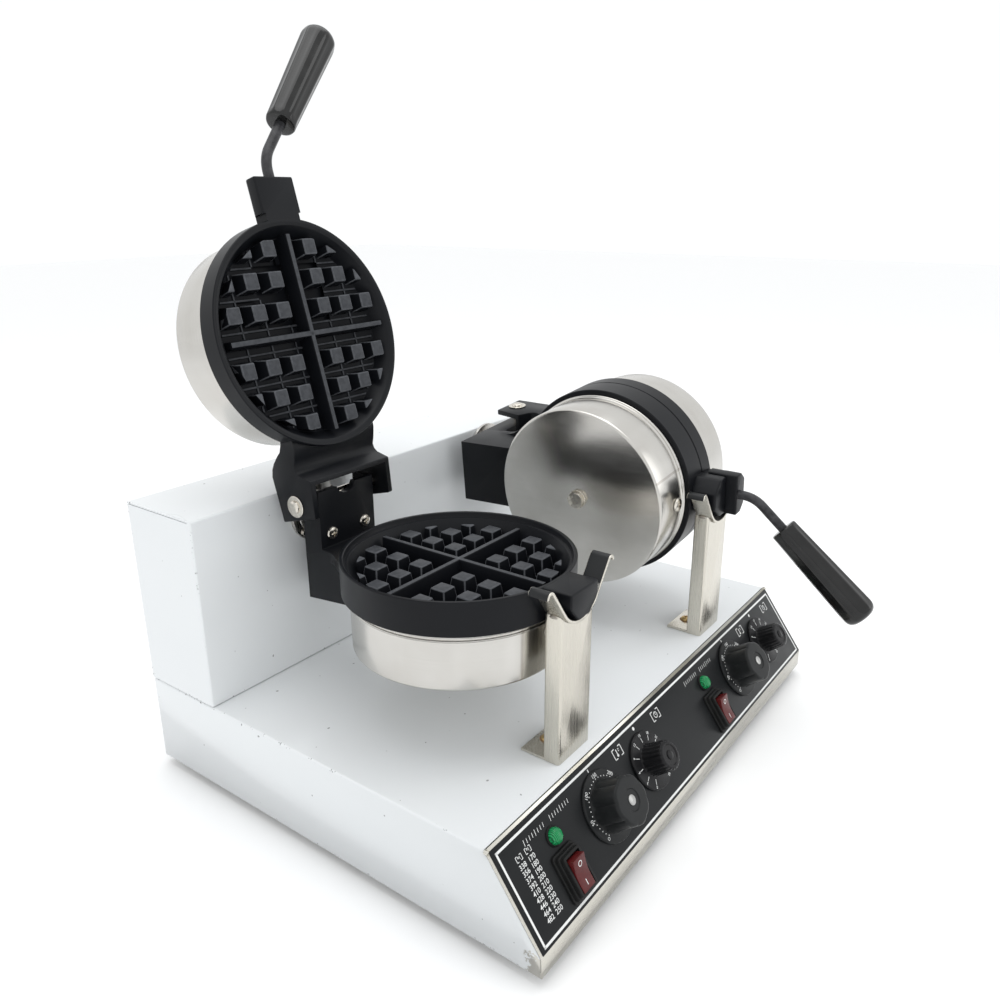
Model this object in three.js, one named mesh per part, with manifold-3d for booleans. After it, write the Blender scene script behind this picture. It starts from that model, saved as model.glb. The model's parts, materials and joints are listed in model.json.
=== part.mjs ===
// Twin rotary waffle maker: a sheet-metal base with a rear housing, and two round baking heads.
// Each head turns over about a front-to-back shaft, and its lid opens about a hinge pin at the rear.
// Millimetres. +X is the machine's right, +Y its back, +Z up. The origin is on the floor, at the
// middle of the whole machine's footprint with its handles.
import * as THREE from 'three';
import { mergeVertices } from 'three/addons/utils/BufferGeometryUtils.js';
import Module from 'manifold-3d';

const wasm = await Module();
wasm.setup();

// ---- driving dimensions -------------------------------------------------------------------------
const WIDTH = 550;
const BACK_Y = 268.1; // back face of the machine
const FOOT_HEIGHT = 10;
const SHEET = 1.5;
const GAP = 0.3; // between pieces that touch

const BASE = { height: 87, topDepth: 406, depth: 456, lipHeight: 18 };
const REAR = { depth: 93.5, top: 268.5 };
const WIRE_SLOT = { width: 60, depth: 30 };
const GLAND = { x: 215, z: 35, neck: 7, flange: 12, bore: 4, length: 18 };

const HEAD_PITCH = 276;
const HEAD_Y = BACK_Y - 275.5; // centre of the baking plates
const ROLL_Z = FOOT_HEIGHT + 241;
const ROLL_RIGHT = 84.85; // degrees that the right head is turned over at rest
const LID_OPEN_LEFT = 105.4; // degrees that the left lid stands open at rest

// A head's own frame: origin on the roll axis at the plates' centre, Y to the back, Z to the lid.
const PLATE = { radius: 102, wallTop: 98.5, step: 96, floorRadius: 88, segments: 40 };
const LOWER = { rim: -0.3, stepZ: -5, floor: -24, bottom: -30.3, rib: -7, boss: -9 };
const UPPER = { rim: 0.3, stepZ: 1.6, floor: 16, top: 20.3, rib: 1, boss: 2.2 };
const BOSS = { first: 23.5, pitch: 26.7, top: 14, base: 19 };
const RIB = { top: 5, base: 9 };
const DRUM = { radius: 94.9, wall: 1, lip: 97, lipHeight: 3, lowerEnd: -81.4, upperEnd: 69, boltHole: 5.4 };
const PIN = { y: 147.5, z: 23.8, radius: 5, hole: 5.35, halfLength: 52, washer: 8.2 };
const EAR = { outer: 50, inner: 44.5 };
const BRACKET = { halfWidth: 35, wall: 5, front: 134.6, back: 157, top: 35, shelf: -20 };
const BRACKET_SCREW = { x: 21, z: -7.4, hole: 2.6 };
const SHAFT = { radius: 14, bore: 9, end: 232, flangeFront: 140.9, flangeBack: 146.5 };
const BEARING = { flange: 30, sleeve: 18, bore: 14.4, thickness: 4, depth: 22 };
const ROD = { radius: 4.7, z: 6, start: -113, bend: -154.6, angle: 41.9, intoGrip: 25 };
const GRIP = { near: 13.7, far: 16.7, length: 115, start: 41.3 };

const POST = { width: 48, front: -120.4, back: -104.4, wall: 2, foot: -82.5, footThickness: 2.5 };
const CRADLE = { radius: 28, thickness: 2.5, arc: 55, armTop: 9, hook: 5, front: -124, back: -106 };

// Controls, from the middle of their head's half of the panel, and from the panel's lower edge.
const LAMP = { x: -74, s: 57.5, radius: 8, height: 9 };
const SWITCH = { x: -74, s: 27, width: 28.5, height: 39.5, bootHeight: 11 };
const ROCKER = { width: 19, height: 26, pivot: 4, face: 15.5, tilt: 10 };
const THERMOSTAT = { x: -6, s: 43, skirt: 30, radius: 22, height: 30 };
const TIMER = { x: 70, s: 43, skirt: 26.5, radius: 18, height: 26 };
const SPINDLE = { radius: 3, hole: 4, reach: 14 };
const OVERLAY = { thickness: 0.9, halfWidth: 273.5, low: 1.2, high: 83 };

// ---- finishes -----------------------------------------------------------------------------------
const FINISHES = {
  white: [0xeef1f4, 0.35, 0.1],
  steel: [0xb9b6ac, 0.35, 1],
  zinc: [0xd2cfc6, 0.3, 1],
  brass: [0xa07a45, 0.4, 1],
  casting: [0x24272c, 0.5, 0.3],
  blackPlastic: [0x141414, 0.3, 0],
  overlay: [0x1c1e20, 0.35, 0],
  rubber: [0x151515, 0.8, 0],
  red: [0x6a1a18, 0.25, 0],
  green: [0x138a3a, 0.25, 0],
  element: [0x6f6a62, 0.5, 0.8],
  phenolic: [0x30302e, 0.6, 0],
};

function finish(name) {
  const [color, roughness, metalness] = FINISHES[name];
  return new THREE.MeshStandardMaterial({ color, roughness, metalness });
}

// ---- solids -------------------------------------------------------------------------------------
function solid(geometry) {
  const bare = geometry.index ? geometry.toNonIndexed() : geometry.clone();
  bare.deleteAttribute('normal');
  bare.deleteAttribute('uv');
  const merged = mergeVertices(bare, 1e-4);
  return new wasm.Manifold(new wasm.Mesh({
    numProp: 3,
    vertProperties: new Float32Array(merged.attributes.position.array),
    triVerts: new Uint32Array(merged.index.array),
  }));
}

function geometryOf(manifold) {
  const mesh = manifold.getMesh();
  const geometry = new THREE.BufferGeometry();
  geometry.setAttribute('position', new THREE.BufferAttribute(mesh.vertProperties, 3));
  geometry.setIndex(new THREE.BufferAttribute(mesh.triVerts, 1));
  return geometry;
}

const join = (...solids) => solids.reduce((sum, next) => sum.add(next));
const cut = (body, ...tools) => tools.reduce((left, tool) => left.subtract(tool), body);

function block(x, y, z) {
  const box = new THREE.BoxGeometry(x[1] - x[0], y[1] - y[0], z[1] - z[0]);
  return solid(box.translate((x[0] + x[1]) / 2, (y[0] + y[1]) / 2, (z[0] + z[1]) / 2));
}

// A profile of [radius, height] pairs turned about Z.
function turned(profile, segments = 24) {
  const points = profile.map(([radius, height]) => new THREE.Vector2(radius, height));
  return solid(new THREE.LatheGeometry(points, segments).rotateX(Math.PI / 2));
}

const disc = (radius, low, high, segments = 24) =>
  turned([[0, low], [radius, low], [radius, high], [0, high]], segments);

// A disc whose axis is Y, from one y to another.
function barY(radius, low, high, x = 0, z = 0, segments = 20) {
  const bar = new THREE.CylinderGeometry(radius, radius, high - low, segments);
  return solid(bar.translate(x, (low + high) / 2, z));
}

function extruded(points, depth) {
  const shape = new THREE.Shape(points.map(([a, b]) => new THREE.Vector2(a, b)));
  return new THREE.ExtrudeGeometry(shape, { depth, bevelEnabled: false });
}

// Outlines drawn on the (y, z), (x, z) and (x, y) planes, made into prisms across them.
function prismX(points, low, high) {
  const turn = new THREE.Matrix4().makeBasis(
    new THREE.Vector3(0, 1, 0), new THREE.Vector3(0, 0, 1), new THREE.Vector3(1, 0, 0));
  return solid(extruded(points, high - low).applyMatrix4(turn).translate(low, 0, 0));
}

function prismY(points, low, high) {
  return solid(extruded(points, high - low).rotateX(Math.PI / 2).translate(0, high, 0));
}

function prismZ(points, low, high) {
  return solid(extruded(points, high - low).translate(0, 0, low));
}

const mirrored = (points) => [...points, ...points.map(([x, y]) => [-x, y]).reverse()];

function tube(path, radius, sides, steps) {
  const section = new THREE.Shape();
  section.absarc(0, 0, radius, 0, 2 * Math.PI, false);
  return new THREE.ExtrudeGeometry(section, {
    steps, curveSegments: sides, extrudePath: path, bevelEnabled: false,
  });
}

function part(name, shape, finishName) {
  const geometry = shape.isBufferGeometry ? shape : geometryOf(shape);
  const mesh = new THREE.Mesh(geometry, finish(finishName));
  mesh.name = name;
  return mesh;
}

function groupOf(children, position = [0, 0, 0]) {
  const group = new THREE.Group();
  group.add(...children);
  group.position.set(...position);
  return group;
}

// ---- base and rear housing ----------------------------------------------------------------------
// The base's side outline, from its own back-bottom corner, with its front set back by inset.
function baseOutline(inset = 0) {
  const { height, topDepth, depth, lipHeight } = BASE;
  const rise = height - lipHeight;
  const run = depth - topDepth;
  const slant = inset * Math.hypot(rise, run) / rise; // the slope's shift along Y
  const lipTop = lipHeight - (slant - inset) * rise / run;
  return [[0, 0], [0, height], [slant - topDepth, height], [inset - depth, lipTop], [inset - depth, 0]];
}

function baseShell() {
  const outer = prismX(baseOutline(SHEET + GAP), -WIDTH / 2, WIDTH / 2);
  const room = prismX([
    [-SHEET, -1], [-SHEET, BASE.height - SHEET], [-BASE.depth, BASE.height - SHEET], [-BASE.depth, -1],
  ], SHEET - WIDTH / 2, WIDTH / 2 - SHEET);
  const slots = [-1, 1].map((side) => block(
    [side * HEAD_PITCH / 2 - WIRE_SLOT.width / 2, side * HEAD_PITCH / 2 + WIRE_SLOT.width / 2],
    [-REAR.depth / 2 - WIRE_SLOT.depth / 2, -REAR.depth / 2 + WIRE_SLOT.depth / 2],
    [BASE.height - 2 * SHEET, BASE.height + 1]));
  const glandHole = barY(GLAND.neck + GAP, -3 * SHEET, 1, GLAND.x, GLAND.z, 12);
  return cut(outer, room, ...slots, glandHole);
}

function basePan() {
  const edge = WIDTH / 2 - SHEET - GAP;
  return block([-edge, edge], [2 * SHEET + GAP - BASE.depth, -SHEET - GAP], [0, SHEET]);
}

function frontFascia() {
  const skin = cut(
    prismX(baseOutline(), -WIDTH / 2, WIDTH / 2),
    prismX(baseOutline(SHEET).map(([y, z]) => [y, z === 0 ? -1 : z]), -WIDTH, WIDTH),
    block([-WIDTH, WIDTH], [-BASE.topDepth, 1], [-1, BASE.height + 1]));
  return cut(skin, ...panelHoles());
}

function rearHousing() {
  const outer = block([-WIDTH / 2, WIDTH / 2], [-REAR.depth, 0], [BASE.height + GAP, REAR.top]);
  const room = block([SHEET - WIDTH / 2, WIDTH / 2 - SHEET], [SHEET - REAR.depth, 1],
    [BASE.height - 1, REAR.top - SHEET]);
  const holes = [-1, 1].map((side) => barY(BEARING.sleeve + GAP, -REAR.depth - 1, 2 - REAR.depth,
    side * HEAD_PITCH / 2, ROLL_Z - FOOT_HEIGHT));
  return cut(outer, room, ...holes);
}

function rearCover() {
  const edge = WIDTH / 2 - SHEET - GAP;
  return block([-edge, edge], [-SHEET, 0], [BASE.height + 2 * GAP, REAR.top - SHEET - GAP]);
}

function cordGland() {
  const { x, z, neck, flange, bore, length } = GLAND;
  const profile = [[bore, -6], [neck, -6], [neck, GAP], [flange, GAP], [flange, 3], [neck, length],
    [bore, length], [bore, -6]];
  return solid(geometryOf(turned(profile, 12)).rotateX(-Math.PI / 2).translate(x, 0, z));
}

function foot() {
  return turned([[0, 0], [13, 0], [16, FOOT_HEIGHT - GAP], [0, FOOT_HEIGHT - GAP]], 16);
}

// ---- control panel ------------------------------------------------------------------------------
// Its pieces are drawn lying flat: X along the machine, Y up the slope, Z out of the panel.
const SLOPE = Math.atan2(BASE.height - BASE.lipHeight, BASE.depth - BASE.topDepth);
const SIDES = [-1, 1].map((side) => side * HEAD_PITCH / 2);

function onPanel(manifold) {
  const flat = geometryOf(manifold).rotateX(SLOPE);
  return solid(flat.translate(0, -BASE.depth, BASE.lipHeight));
}

function atControl(manifold, centre, control) {
  return manifold.translate([centre + control.x, control.s, 0]);
}

const spindleHole = () => disc(SPINDLE.hole, -5, 5, 12);

function switchHole() {
  const halfWidth = ROCKER.width / 2 + 2;
  const halfHeight = ROCKER.height / 2 + 3;
  return block([-halfWidth, halfWidth], [-halfHeight, halfHeight], [-5, 5]);
}

function panelHoles() {
  return SIDES.flatMap((centre) => [
    atControl(disc(LAMP.radius - 2, -5, 5, 16), centre, LAMP),
    atControl(switchHole(), centre, SWITCH),
    atControl(spindleHole(), centre, THERMOSTAT),
    atControl(spindleHole(), centre, TIMER),
  ]).map(onPanel);
}

function controlPanel() {
  const sheet = block([-OVERLAY.halfWidth, OVERLAY.halfWidth], [OVERLAY.low, OVERLAY.high],
    [GAP, GAP + OVERLAY.thickness]);
  return cut(onPanel(sheet), ...panelHoles());
}

const PANEL_FACE = 2 * GAP + OVERLAY.thickness;

function lamp() {
  const { radius, height } = LAMP;
  const stem = radius - 2 - GAP;
  return turned([
    [0, -16], [stem, -16], [stem, PANEL_FACE], [radius, PANEL_FACE], [radius, PANEL_FACE + 2],
    [radius * 0.7, height * 0.85], [0, height],
  ], 14);
}

function switchBoot() {
  const { width, height, bootHeight } = SWITCH;
  const mouthWidth = ROCKER.width / 2 + 1;
  const mouthHeight = ROCKER.height / 2 + 1.5;
  const steps = [[0, PANEL_FACE, 4], [1.8, 4, 7.5], [3.4, 7.5, bootHeight]].map(([inset, low, high]) => block(
    [inset - width / 2, width / 2 - inset], [inset - height / 2, height / 2 - inset], [low, high]));
  const body = block([-mouthWidth - 0.6, mouthWidth + 0.6], [-mouthHeight - 0.6, mouthHeight + 0.6], [-22, 4]);
  const mouth = block([-mouthWidth, mouthWidth], [-mouthHeight, mouthHeight], [-12, bootHeight + 1]);
  return cut(join(...steps, body), mouth);
}

// A side view of [s, height] pairs, tilted so that its lower half is pressed.
function rocker() {
  const { width, height, face, tilt } = ROCKER;
  const half = height / 2;
  const outline = [[-half, 3], [-2, -5], [2, -5], [half, 3], [half, face], [0, face - 2], [-half, face]];
  const flat = prismX(outline.map(([s, h]) => [s, h - ROCKER.pivot]), -width / 2, width / 2);
  const tilted = geometryOf(flat).rotateX(THREE.MathUtils.degToRad(tilt));
  return solid(tilted.translate(0, 0, ROCKER.pivot));
}

function knob({ skirt, radius, height }) {
  const low = PANEL_FACE + 0.5;
  return join(
    turned([[0, low], [skirt, low], [skirt - 1, low + 2], [radius + 1, low + 4], [radius, low + 5],
      [radius - 1.5, height], [0, height]], 20),
    disc(SPINDLE.radius, -SPINDLE.reach, low + 1, 12));
}

function controlBody(width, depth) {
  const box = block([-width / 2, width / 2], [-width / 2, width / 2], [-depth - 3, -3]);
  return cut(box, disc(SPINDLE.hole, -SPINDLE.reach - 2, 0, 12));
}

// ---- posts and cradles --------------------------------------------------------------------------
// The cradle's inner outline, from its middle round to the tip of its right-hand hook.
function cradleCurve(offset) {
  const { radius, arc, armTop, hook } = CRADLE;
  const points = [];
  const swing = THREE.MathUtils.degToRad(arc);
  const arcSteps = 5;
  for (let i = 0; i <= arcSteps; i += 1) {
    const angle = swing * i / arcSteps;
    points.push([(radius + offset) * Math.sin(angle), -(radius + offset) * Math.cos(angle)]);
  }
  const armEnd = [
    radius * Math.sin(swing) + (armTop + radius * Math.cos(swing)) / Math.tan(swing), armTop,
  ];
  const centre = [armEnd[0] + hook * Math.sin(swing), armTop - hook * Math.cos(swing)];
  const hookSteps = 5;
  for (let i = 0; i <= hookSteps; i += 1) {
    const angle = Math.PI - (Math.PI / 2 - swing) - 0.85 * Math.PI * i / hookSteps;
    const reach = hook - offset;
    points.push([centre[0] + reach * Math.cos(angle), centre[1] + reach * Math.sin(angle)]);
  }
  return points;
}

function cradle() {
  const inner = cradleCurve(0);
  const outer = cradleCurve(CRADLE.thickness);
  const leftInner = inner.slice(1).map(([x, z]) => [-x, z]).reverse();
  const leftOuter = outer.slice(1).map(([x, z]) => [-x, z]).reverse();
  const outline = [...leftInner, ...inner, ...outer.toReversed(), ...leftOuter.toReversed()];
  return prismY(outline, CRADLE.front, CRADLE.back);
}

// Everything above the cradle's underside, which trims the post's top.
function aboveCradle() {
  const { radius, arc } = CRADLE;
  const swing = THREE.MathUtils.degToRad(arc);
  const reach = radius + CRADLE.thickness + GAP;
  const points = [];
  const steps = 6;
  for (let i = 0; i <= steps; i += 1) {
    const angle = swing * i / steps;
    points.push([reach * Math.sin(angle), -reach * Math.cos(angle)]);
  }
  const [x, z] = points[steps];
  points.push([x + 30 / Math.tan(swing), z + 30], [0, z + 30]);
  const half = prismY(points, POST.front - 1, POST.back + 1);
  return join(half, half.mirror([1, 0, 0]));
}

function post() {
  const floor = BASE.height + FOOT_HEIGHT - ROLL_Z + GAP;
  const half = POST.width / 2;
  const outer = block([-half, half], [POST.front, POST.back], [floor, -10]);
  const inner = block([POST.wall - half, half - POST.wall], [POST.front + POST.wall, POST.back - POST.wall],
    [floor - 1, 0]);
  const flange = block([-half, half], [POST.back - POST.wall, POST.foot], [floor, floor + POST.footThickness]);
  const screwHole = disc(2.8, floor - 1, floor + 5, 12).translate([0, (POST.back + POST.foot) / 2, 0]);
  return cut(join(cut(outer, inner), flange), aboveCradle(), screwHole);
}

function postScrew() {
  const face = BASE.height + FOOT_HEIGHT - ROLL_Z + 2 * GAP + POST.footThickness;
  const profile = [[0, face - 2], [2.4, face - 2], [2.4, face], [5.5, face], [5, face + 2], [0, face + 3.2]];
  return turned(profile, 10).translate([0, (POST.back + POST.foot) / 2, 0]);
}

function shaftBearing() {
  const front = HEAD_Y - (BACK_Y - REAR.depth);
  const face = -front - GAP;
  const flange = barY(BEARING.flange, face - BEARING.thickness, face);
  const sleeve = barY(BEARING.sleeve, face - BEARING.thickness, face + BEARING.depth);
  return cut(join(flange, sleeve), barY(BEARING.bore, 0, SHAFT.end));
}

// ---- baking plates ------------------------------------------------------------------------------
// A truncated pyramid between two heights, one end of size `top` at z0 and the other `base` at z1.
function stud(sizeX, sizeY, taper, z0, z1) {
  const shape = new THREE.BoxGeometry(1, 1, 1);
  const position = shape.attributes.position;
  for (let i = 0; i < position.count; i += 1) {
    const atTop = position.getZ(i) > 0;
    const grow = atTop ? 0 : taper;
    position.setXYZ(i, Math.sign(position.getX(i)) * (sizeX + grow) / 2,
      Math.sign(position.getY(i)) * (sizeY + grow) / 2, atTop ? z0 : z1);
  }
  return solid(shape);
}

// The raised pattern: a cross of ribs and six square studs in each quarter.
function pattern(floor, ribTop, bossTop) {
  const flipped = bossTop < floor;
  const height = (z) => (flipped ? -z : z);
  const root = height(floor) - 1;
  const pieces = [
    stud(2 * PLATE.step, RIB.top, RIB.base - RIB.top, height(ribTop), root),
    stud(RIB.top, 2 * PLATE.step, RIB.base - RIB.top, height(ribTop), root),
  ];
  const boss = stud(BOSS.top, BOSS.top, BOSS.base - BOSS.top, height(bossTop), root);
  for (const sideX of [-1, 1]) {
    for (const sideY of [-1, 1]) {
      for (let row = 0; row < 3; row += 1) {
        for (let column = 0; column + row < 3; column += 1) {
          const x = sideX * (BOSS.first + column * BOSS.pitch);
          const y = sideY * (BOSS.first + row * BOSS.pitch);
          pieces.push(boss.translate([x, y, 0]));
        }
      }
    }
  }
  const raised = join(...pieces);
  const kept = raised.intersect(disc(PLATE.floorRadius + 5, -60, 60, PLATE.segments));
  return flipped ? kept.mirror([0, 0, 1]) : kept;
}

function hub(points, front) {
  return prismY(mirrored(points), front, -PLATE.wallTop);
}

// The upright at the back of the lower casting, which holds the pin and takes the roll shaft.
function bracket() {
  const { halfWidth, wall, front, back, top, shelf } = BRACKET;
  const side = [[80, shelf], [80, -66], [back, -74], [back, top], [front, top], [front, shelf]];
  const plan = (inset) => mirrored([
    [halfWidth - inset, back + (inset ? 1 : 0)], [halfWidth - inset, 126], [halfWidth + 4 - inset, 114],
    [halfWidth + 11 - inset, 103], [halfWidth + 17 - inset, 88],
  ]).reverse();
  const outer = prismX(side, -70, 70).intersect(prismZ(plan(0), -80, 40));
  const lowerRoom = prismZ(plan(wall), -80, shelf - wall);
  const upperRoom = block([wall - halfWidth, halfWidth - wall], [front + 6, back + 1], [shelf, top + 1]);
  const notch = barY(12, front - 1, front + 7, 0, top + 4);
  const pinHole = pinBar(PIN.hole, halfWidth + 1);
  const screwHoles = [-1, 1].map((sign) => barY(BRACKET_SCREW.hole, front - 1, front + 7,
    sign * BRACKET_SCREW.x, BRACKET_SCREW.z, 12));
  return cut(outer, lowerRoom, upperRoom, notch, pinHole, ...screwHoles);
}

function pinBar(radius, halfLength) {
  const bar = new THREE.CylinderGeometry(radius, radius, 2 * halfLength, 16).rotateZ(Math.PI / 2);
  return solid(bar.translate(0, PIN.y, PIN.z));
}

function lowerPlate() {
  const { rim, stepZ, floor, bottom, rib, boss } = LOWER;
  const dish = turned([
    [0, bottom], [PLATE.radius, bottom], [PLATE.radius, rim], [PLATE.wallTop, rim], [PLATE.step, stepZ],
    [PLATE.floorRadius, floor], [0, floor],
  ], PLATE.segments);
  const drumRoom = disc(DRUM.lip + 1, -90, bottom, PLATE.segments);
  const upright = cut(bracket(), drumRoom, disc(PLATE.step, bottom - 1, 0, PLATE.segments));
  const halfHub = hub([[20, -0.5], [20, -13], [8, -26]], -126.5);
  return join(dish, pattern(floor, rib, boss), upright, halfHub);
}

function upperPlate() {
  const { rim, stepZ, floor, top, rib, boss } = UPPER;
  const dish = turned([
    [0, floor], [PLATE.floorRadius, floor], [PLATE.step, stepZ], [PLATE.wallTop, rim],
    [PLATE.radius, rim], [PLATE.radius, top], [0, top],
  ], PLATE.segments);
  const halfHub = cut(hub([[21.5, 0.5], [21.5, 12], [14, top]], -138), rodBar(ROD.radius + GAP));
  return join(dish, pattern(floor, rib, boss), lidArm(), halfHub);
}

// The lid's arm: a web off the rim that ends in two ears on the pin, open between them.
function lidArm() {
  const side = [[80, 6], [97, 6], [112, 12.5], [120, 9], [127, -4], [157, 3], [157, 44], [118, 44],
    [106, 38], [97, 26], [80, 20]];
  const pocket = [[131, -20], [131, -3], [125, 12], [117, 18], [117, 70], [175, 70], [175, -20]];
  const arm = cut(prismX(side, -EAR.outer, EAR.outer), prismX(pocket, -EAR.inner, EAR.inner),
    pinBar(PIN.hole, EAR.outer + 1), disc(DRUM.lip + 1, UPPER.top, 90, PLATE.segments));
  return cut(arm, disc(PLATE.step, -10, UPPER.top + 1, PLATE.segments));
}

// ---- drums, heaters and fasteners ---------------------------------------------------------------
// A steel can over the back of a plate, drawn downwards and mirrored for the lid.
function drum(start, end, lipped) {
  const { radius, wall, lip, lipHeight, boltHole } = DRUM;
  const mouth = lipped
    ? [[radius, start - lipHeight], [lip, start - lipHeight], [lip, start]]
    : [[radius, start]];
  return turned([
    [boltHole, end], [radius, end], ...mouth, [radius - wall, start],
    [radius - wall, end + wall], [boltHole, end + wall], [boltHole, end],
  ], PLATE.segments);
}

function lowerDrum() {
  const can = drum(LOWER.bottom - GAP, DRUM.lowerEnd, true);
  return cut(can, barY(3.3, -DRUM.radius - 2, 4 - DRUM.radius, 0, -47, 12));
}

function heater(z) {
  const arc = new THREE.EllipseCurve(0, 0, 62, 62, 0.35, 2 * Math.PI - 0.35, false);
  const points = arc.getPoints(24).map(({ x, y }) => new THREE.Vector3(-y, x, z));
  return tube(new THREE.CatmullRomCurve3(points), 4, 3, 20);
}

// A bolt up the middle of a drum, with its hexagon head outside the drum's end.
function centreBolt(start, end) {
  const head = disc(9.8, end - GAP - 6, end - GAP, 6);
  return join(disc(DRUM.boltHole - GAP, end - 1, start - GAP, 12), head);
}

function drumScrew() {
  const profile = [[0, -4], [3, -4], [3, 0], [7.5, 0], [7, 2], [0, 3.4]];
  const screw = geometryOf(turned(profile, 10)).rotateX(Math.PI / 2);
  return solid(screw.translate(0, -DRUM.radius - GAP, -47));
}

function rollShaft() {
  const { radius, bore, end, flangeFront, flangeBack } = SHAFT;
  const flange = block([-28, 28], [flangeFront, flangeBack], [-18, 15]);
  const threads = [-1, 1].map((side) => barY(2.2, flangeFront - 1, flangeBack + 1,
    side * BRACKET_SCREW.x, BRACKET_SCREW.z, 12));
  return cut(join(flange, barY(radius, flangeBack - 1, end)), barY(bore, flangeFront - 1, end + 1), ...threads);
}

function hingePin() {
  const { radius, halfLength, washer } = PIN;
  const face = EAR.outer + GAP;
  const ends = [-1, 1].map((side) => {
    const ring = new THREE.CylinderGeometry(washer, washer, 1.5, 16).rotateZ(Math.PI / 2);
    return solid(ring.translate(side * (face + 0.75), PIN.y, PIN.z));
  });
  return join(pinBar(radius, halfLength + 2), ...ends);
}

// ---- handle -------------------------------------------------------------------------------------
const CRANK = THREE.MathUtils.degToRad(ROD.angle);
const CRANK_DIRECTION = new THREE.Vector3(Math.sin(CRANK), -Math.cos(CRANK), 0);

const alongCrank = (distance) => new THREE.Vector3(0, ROD.bend, ROD.z)
  .addScaledVector(CRANK_DIRECTION, distance);

function rodBar(radius) {
  return barY(radius, -PLATE.wallTop - 60, ROD.start - GAP, 0, ROD.z, 12);
}

function handleRod() {
  const corner = new THREE.Vector3(0, ROD.bend, ROD.z);
  const before = corner.clone().setY(ROD.bend + 12);
  const path = new THREE.CurvePath();
  path.add(new THREE.LineCurve3(new THREE.Vector3(0, ROD.start - 2 * GAP, ROD.z), before));
  path.add(new THREE.QuadraticBezierCurve3(before, corner, alongCrank(12)));
  path.add(new THREE.LineCurve3(alongCrank(12), alongCrank(GRIP.start + ROD.intoGrip)));
  return tube(path, ROD.radius, 5, 16);
}

function handleGrip() {
  const { near, far, length } = GRIP;
  const bore = ROD.radius + GAP;
  const grip = turned([
    [0, ROD.intoGrip + 1], [bore, ROD.intoGrip + 1], [bore, 0], [near - 1.5, 0], [near, 1.5],
    [far, length - 12], [far - 0.8, length - 5], [far - 4, length - 1], [0, length],
  ], 24);
  const direction = new THREE.Quaternion().setFromUnitVectors(new THREE.Vector3(0, 0, 1), CRANK_DIRECTION);
  const placed = geometryOf(grip).applyQuaternion(direction);
  return solid(placed.translate(...alongCrank(GRIP.start).toArray()));
}

// ---- assembly -----------------------------------------------------------------------------------
function baseGroup() {
  const feet = [['front_left', -1, -1], ['front_right', 1, -1], ['rear_left', -1, 1], ['rear_right', 1, 1]];
  const footMeshes = feet.map(([corner, sideX, sideY]) => {
    const mesh = part(`foot_${corner}`, foot(), 'rubber');
    const inset = 42;
    mesh.position.set(sideX * (WIDTH / 2 - inset), sideY < 0 ? inset - BASE.depth : -inset, -FOOT_HEIGHT);
    return mesh;
  });
  return groupOf([
    part('base_shell', baseShell(), 'white'),
    part('base_pan', basePan(), 'steel'),
    part('front_fascia', frontFascia(), 'steel'),
    part('control_panel', controlPanel(), 'overlay'),
    part('rear_housing', rearHousing(), 'white'),
    part('rear_cover', rearCover(), 'white'),
    part('cord_gland', cordGland(), 'rubber'),
    ...footMeshes,
  ], [0, BACK_Y, FOOT_HEIGHT]);
}

function controlGroup(side, centre) {
  const controls = [
    ['indicator_lamp', lamp(), 'green', LAMP],
    ['switch_boot', switchBoot(), 'rubber', SWITCH],
    ['switch_rocker', rocker(), 'red', SWITCH],
    ['thermostat_knob', knob(THERMOSTAT), 'blackPlastic', THERMOSTAT],
    ['thermostat_body', controlBody(34, 22), 'phenolic', THERMOSTAT],
    ['timer_knob', knob(TIMER), 'blackPlastic', TIMER],
    ['timer_body', controlBody(38, 26), 'zinc', TIMER],
  ].map(([name, shape, finishName, place]) => {
    const mesh = part(`${side}_${name}`, shape, finishName);
    mesh.position.set(centre + place.x, place.s, 0);
    return mesh;
  });
  const group = groupOf(controls, [0, BACK_Y - BASE.depth, FOOT_HEIGHT + BASE.lipHeight]);
  group.rotation.x = SLOPE;
  return group;
}

function lidGroup(side) {
  const mirrorZ = (manifold) => manifold.mirror([0, 0, 1]);
  const pieces = groupOf([
    part(`${side}_upper_plate`, upperPlate(), 'casting'),
    part(`${side}_upper_drum`, mirrorZ(drum(-UPPER.top - GAP, -DRUM.upperEnd, false)), 'steel'),
    part(`${side}_upper_heater`, heater(UPPER.top + 5), 'element'),
    part(`${side}_upper_bolt`, mirrorZ(centreBolt(-UPPER.top, -DRUM.upperEnd)), 'zinc'),
    part(`${side}_handle_rod`, handleRod(), 'casting'),
    part(`${side}_handle_grip`, handleGrip(), 'blackPlastic'),
  ], [0, -PIN.y, -PIN.z]);
  return groupOf([pieces], [0, PIN.y, PIN.z]);
}

function headGroup(side, centre, roll, lidAngle) {
  const lid = lidGroup(side);
  lid.rotation.x = -THREE.MathUtils.degToRad(lidAngle);
  const head = groupOf([
    lid,
    part(`${side}_lower_plate`, lowerPlate(), 'casting'),
    part(`${side}_lower_drum`, lowerDrum(), 'steel'),
    part(`${side}_lower_heater`, heater(LOWER.bottom - 5), 'element'),
    part(`${side}_lower_bolt`, centreBolt(LOWER.bottom, DRUM.lowerEnd), 'zinc'),
    part(`${side}_drum_screw`, drumScrew(), 'zinc'),
    part(`${side}_roll_shaft`, rollShaft(), 'zinc'),
    part(`${side}_hinge_pin`, hingePin(), 'zinc'),
  ], [centre, HEAD_Y, ROLL_Z]);
  head.rotation.y = THREE.MathUtils.degToRad(roll);
  return head;
}

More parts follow.
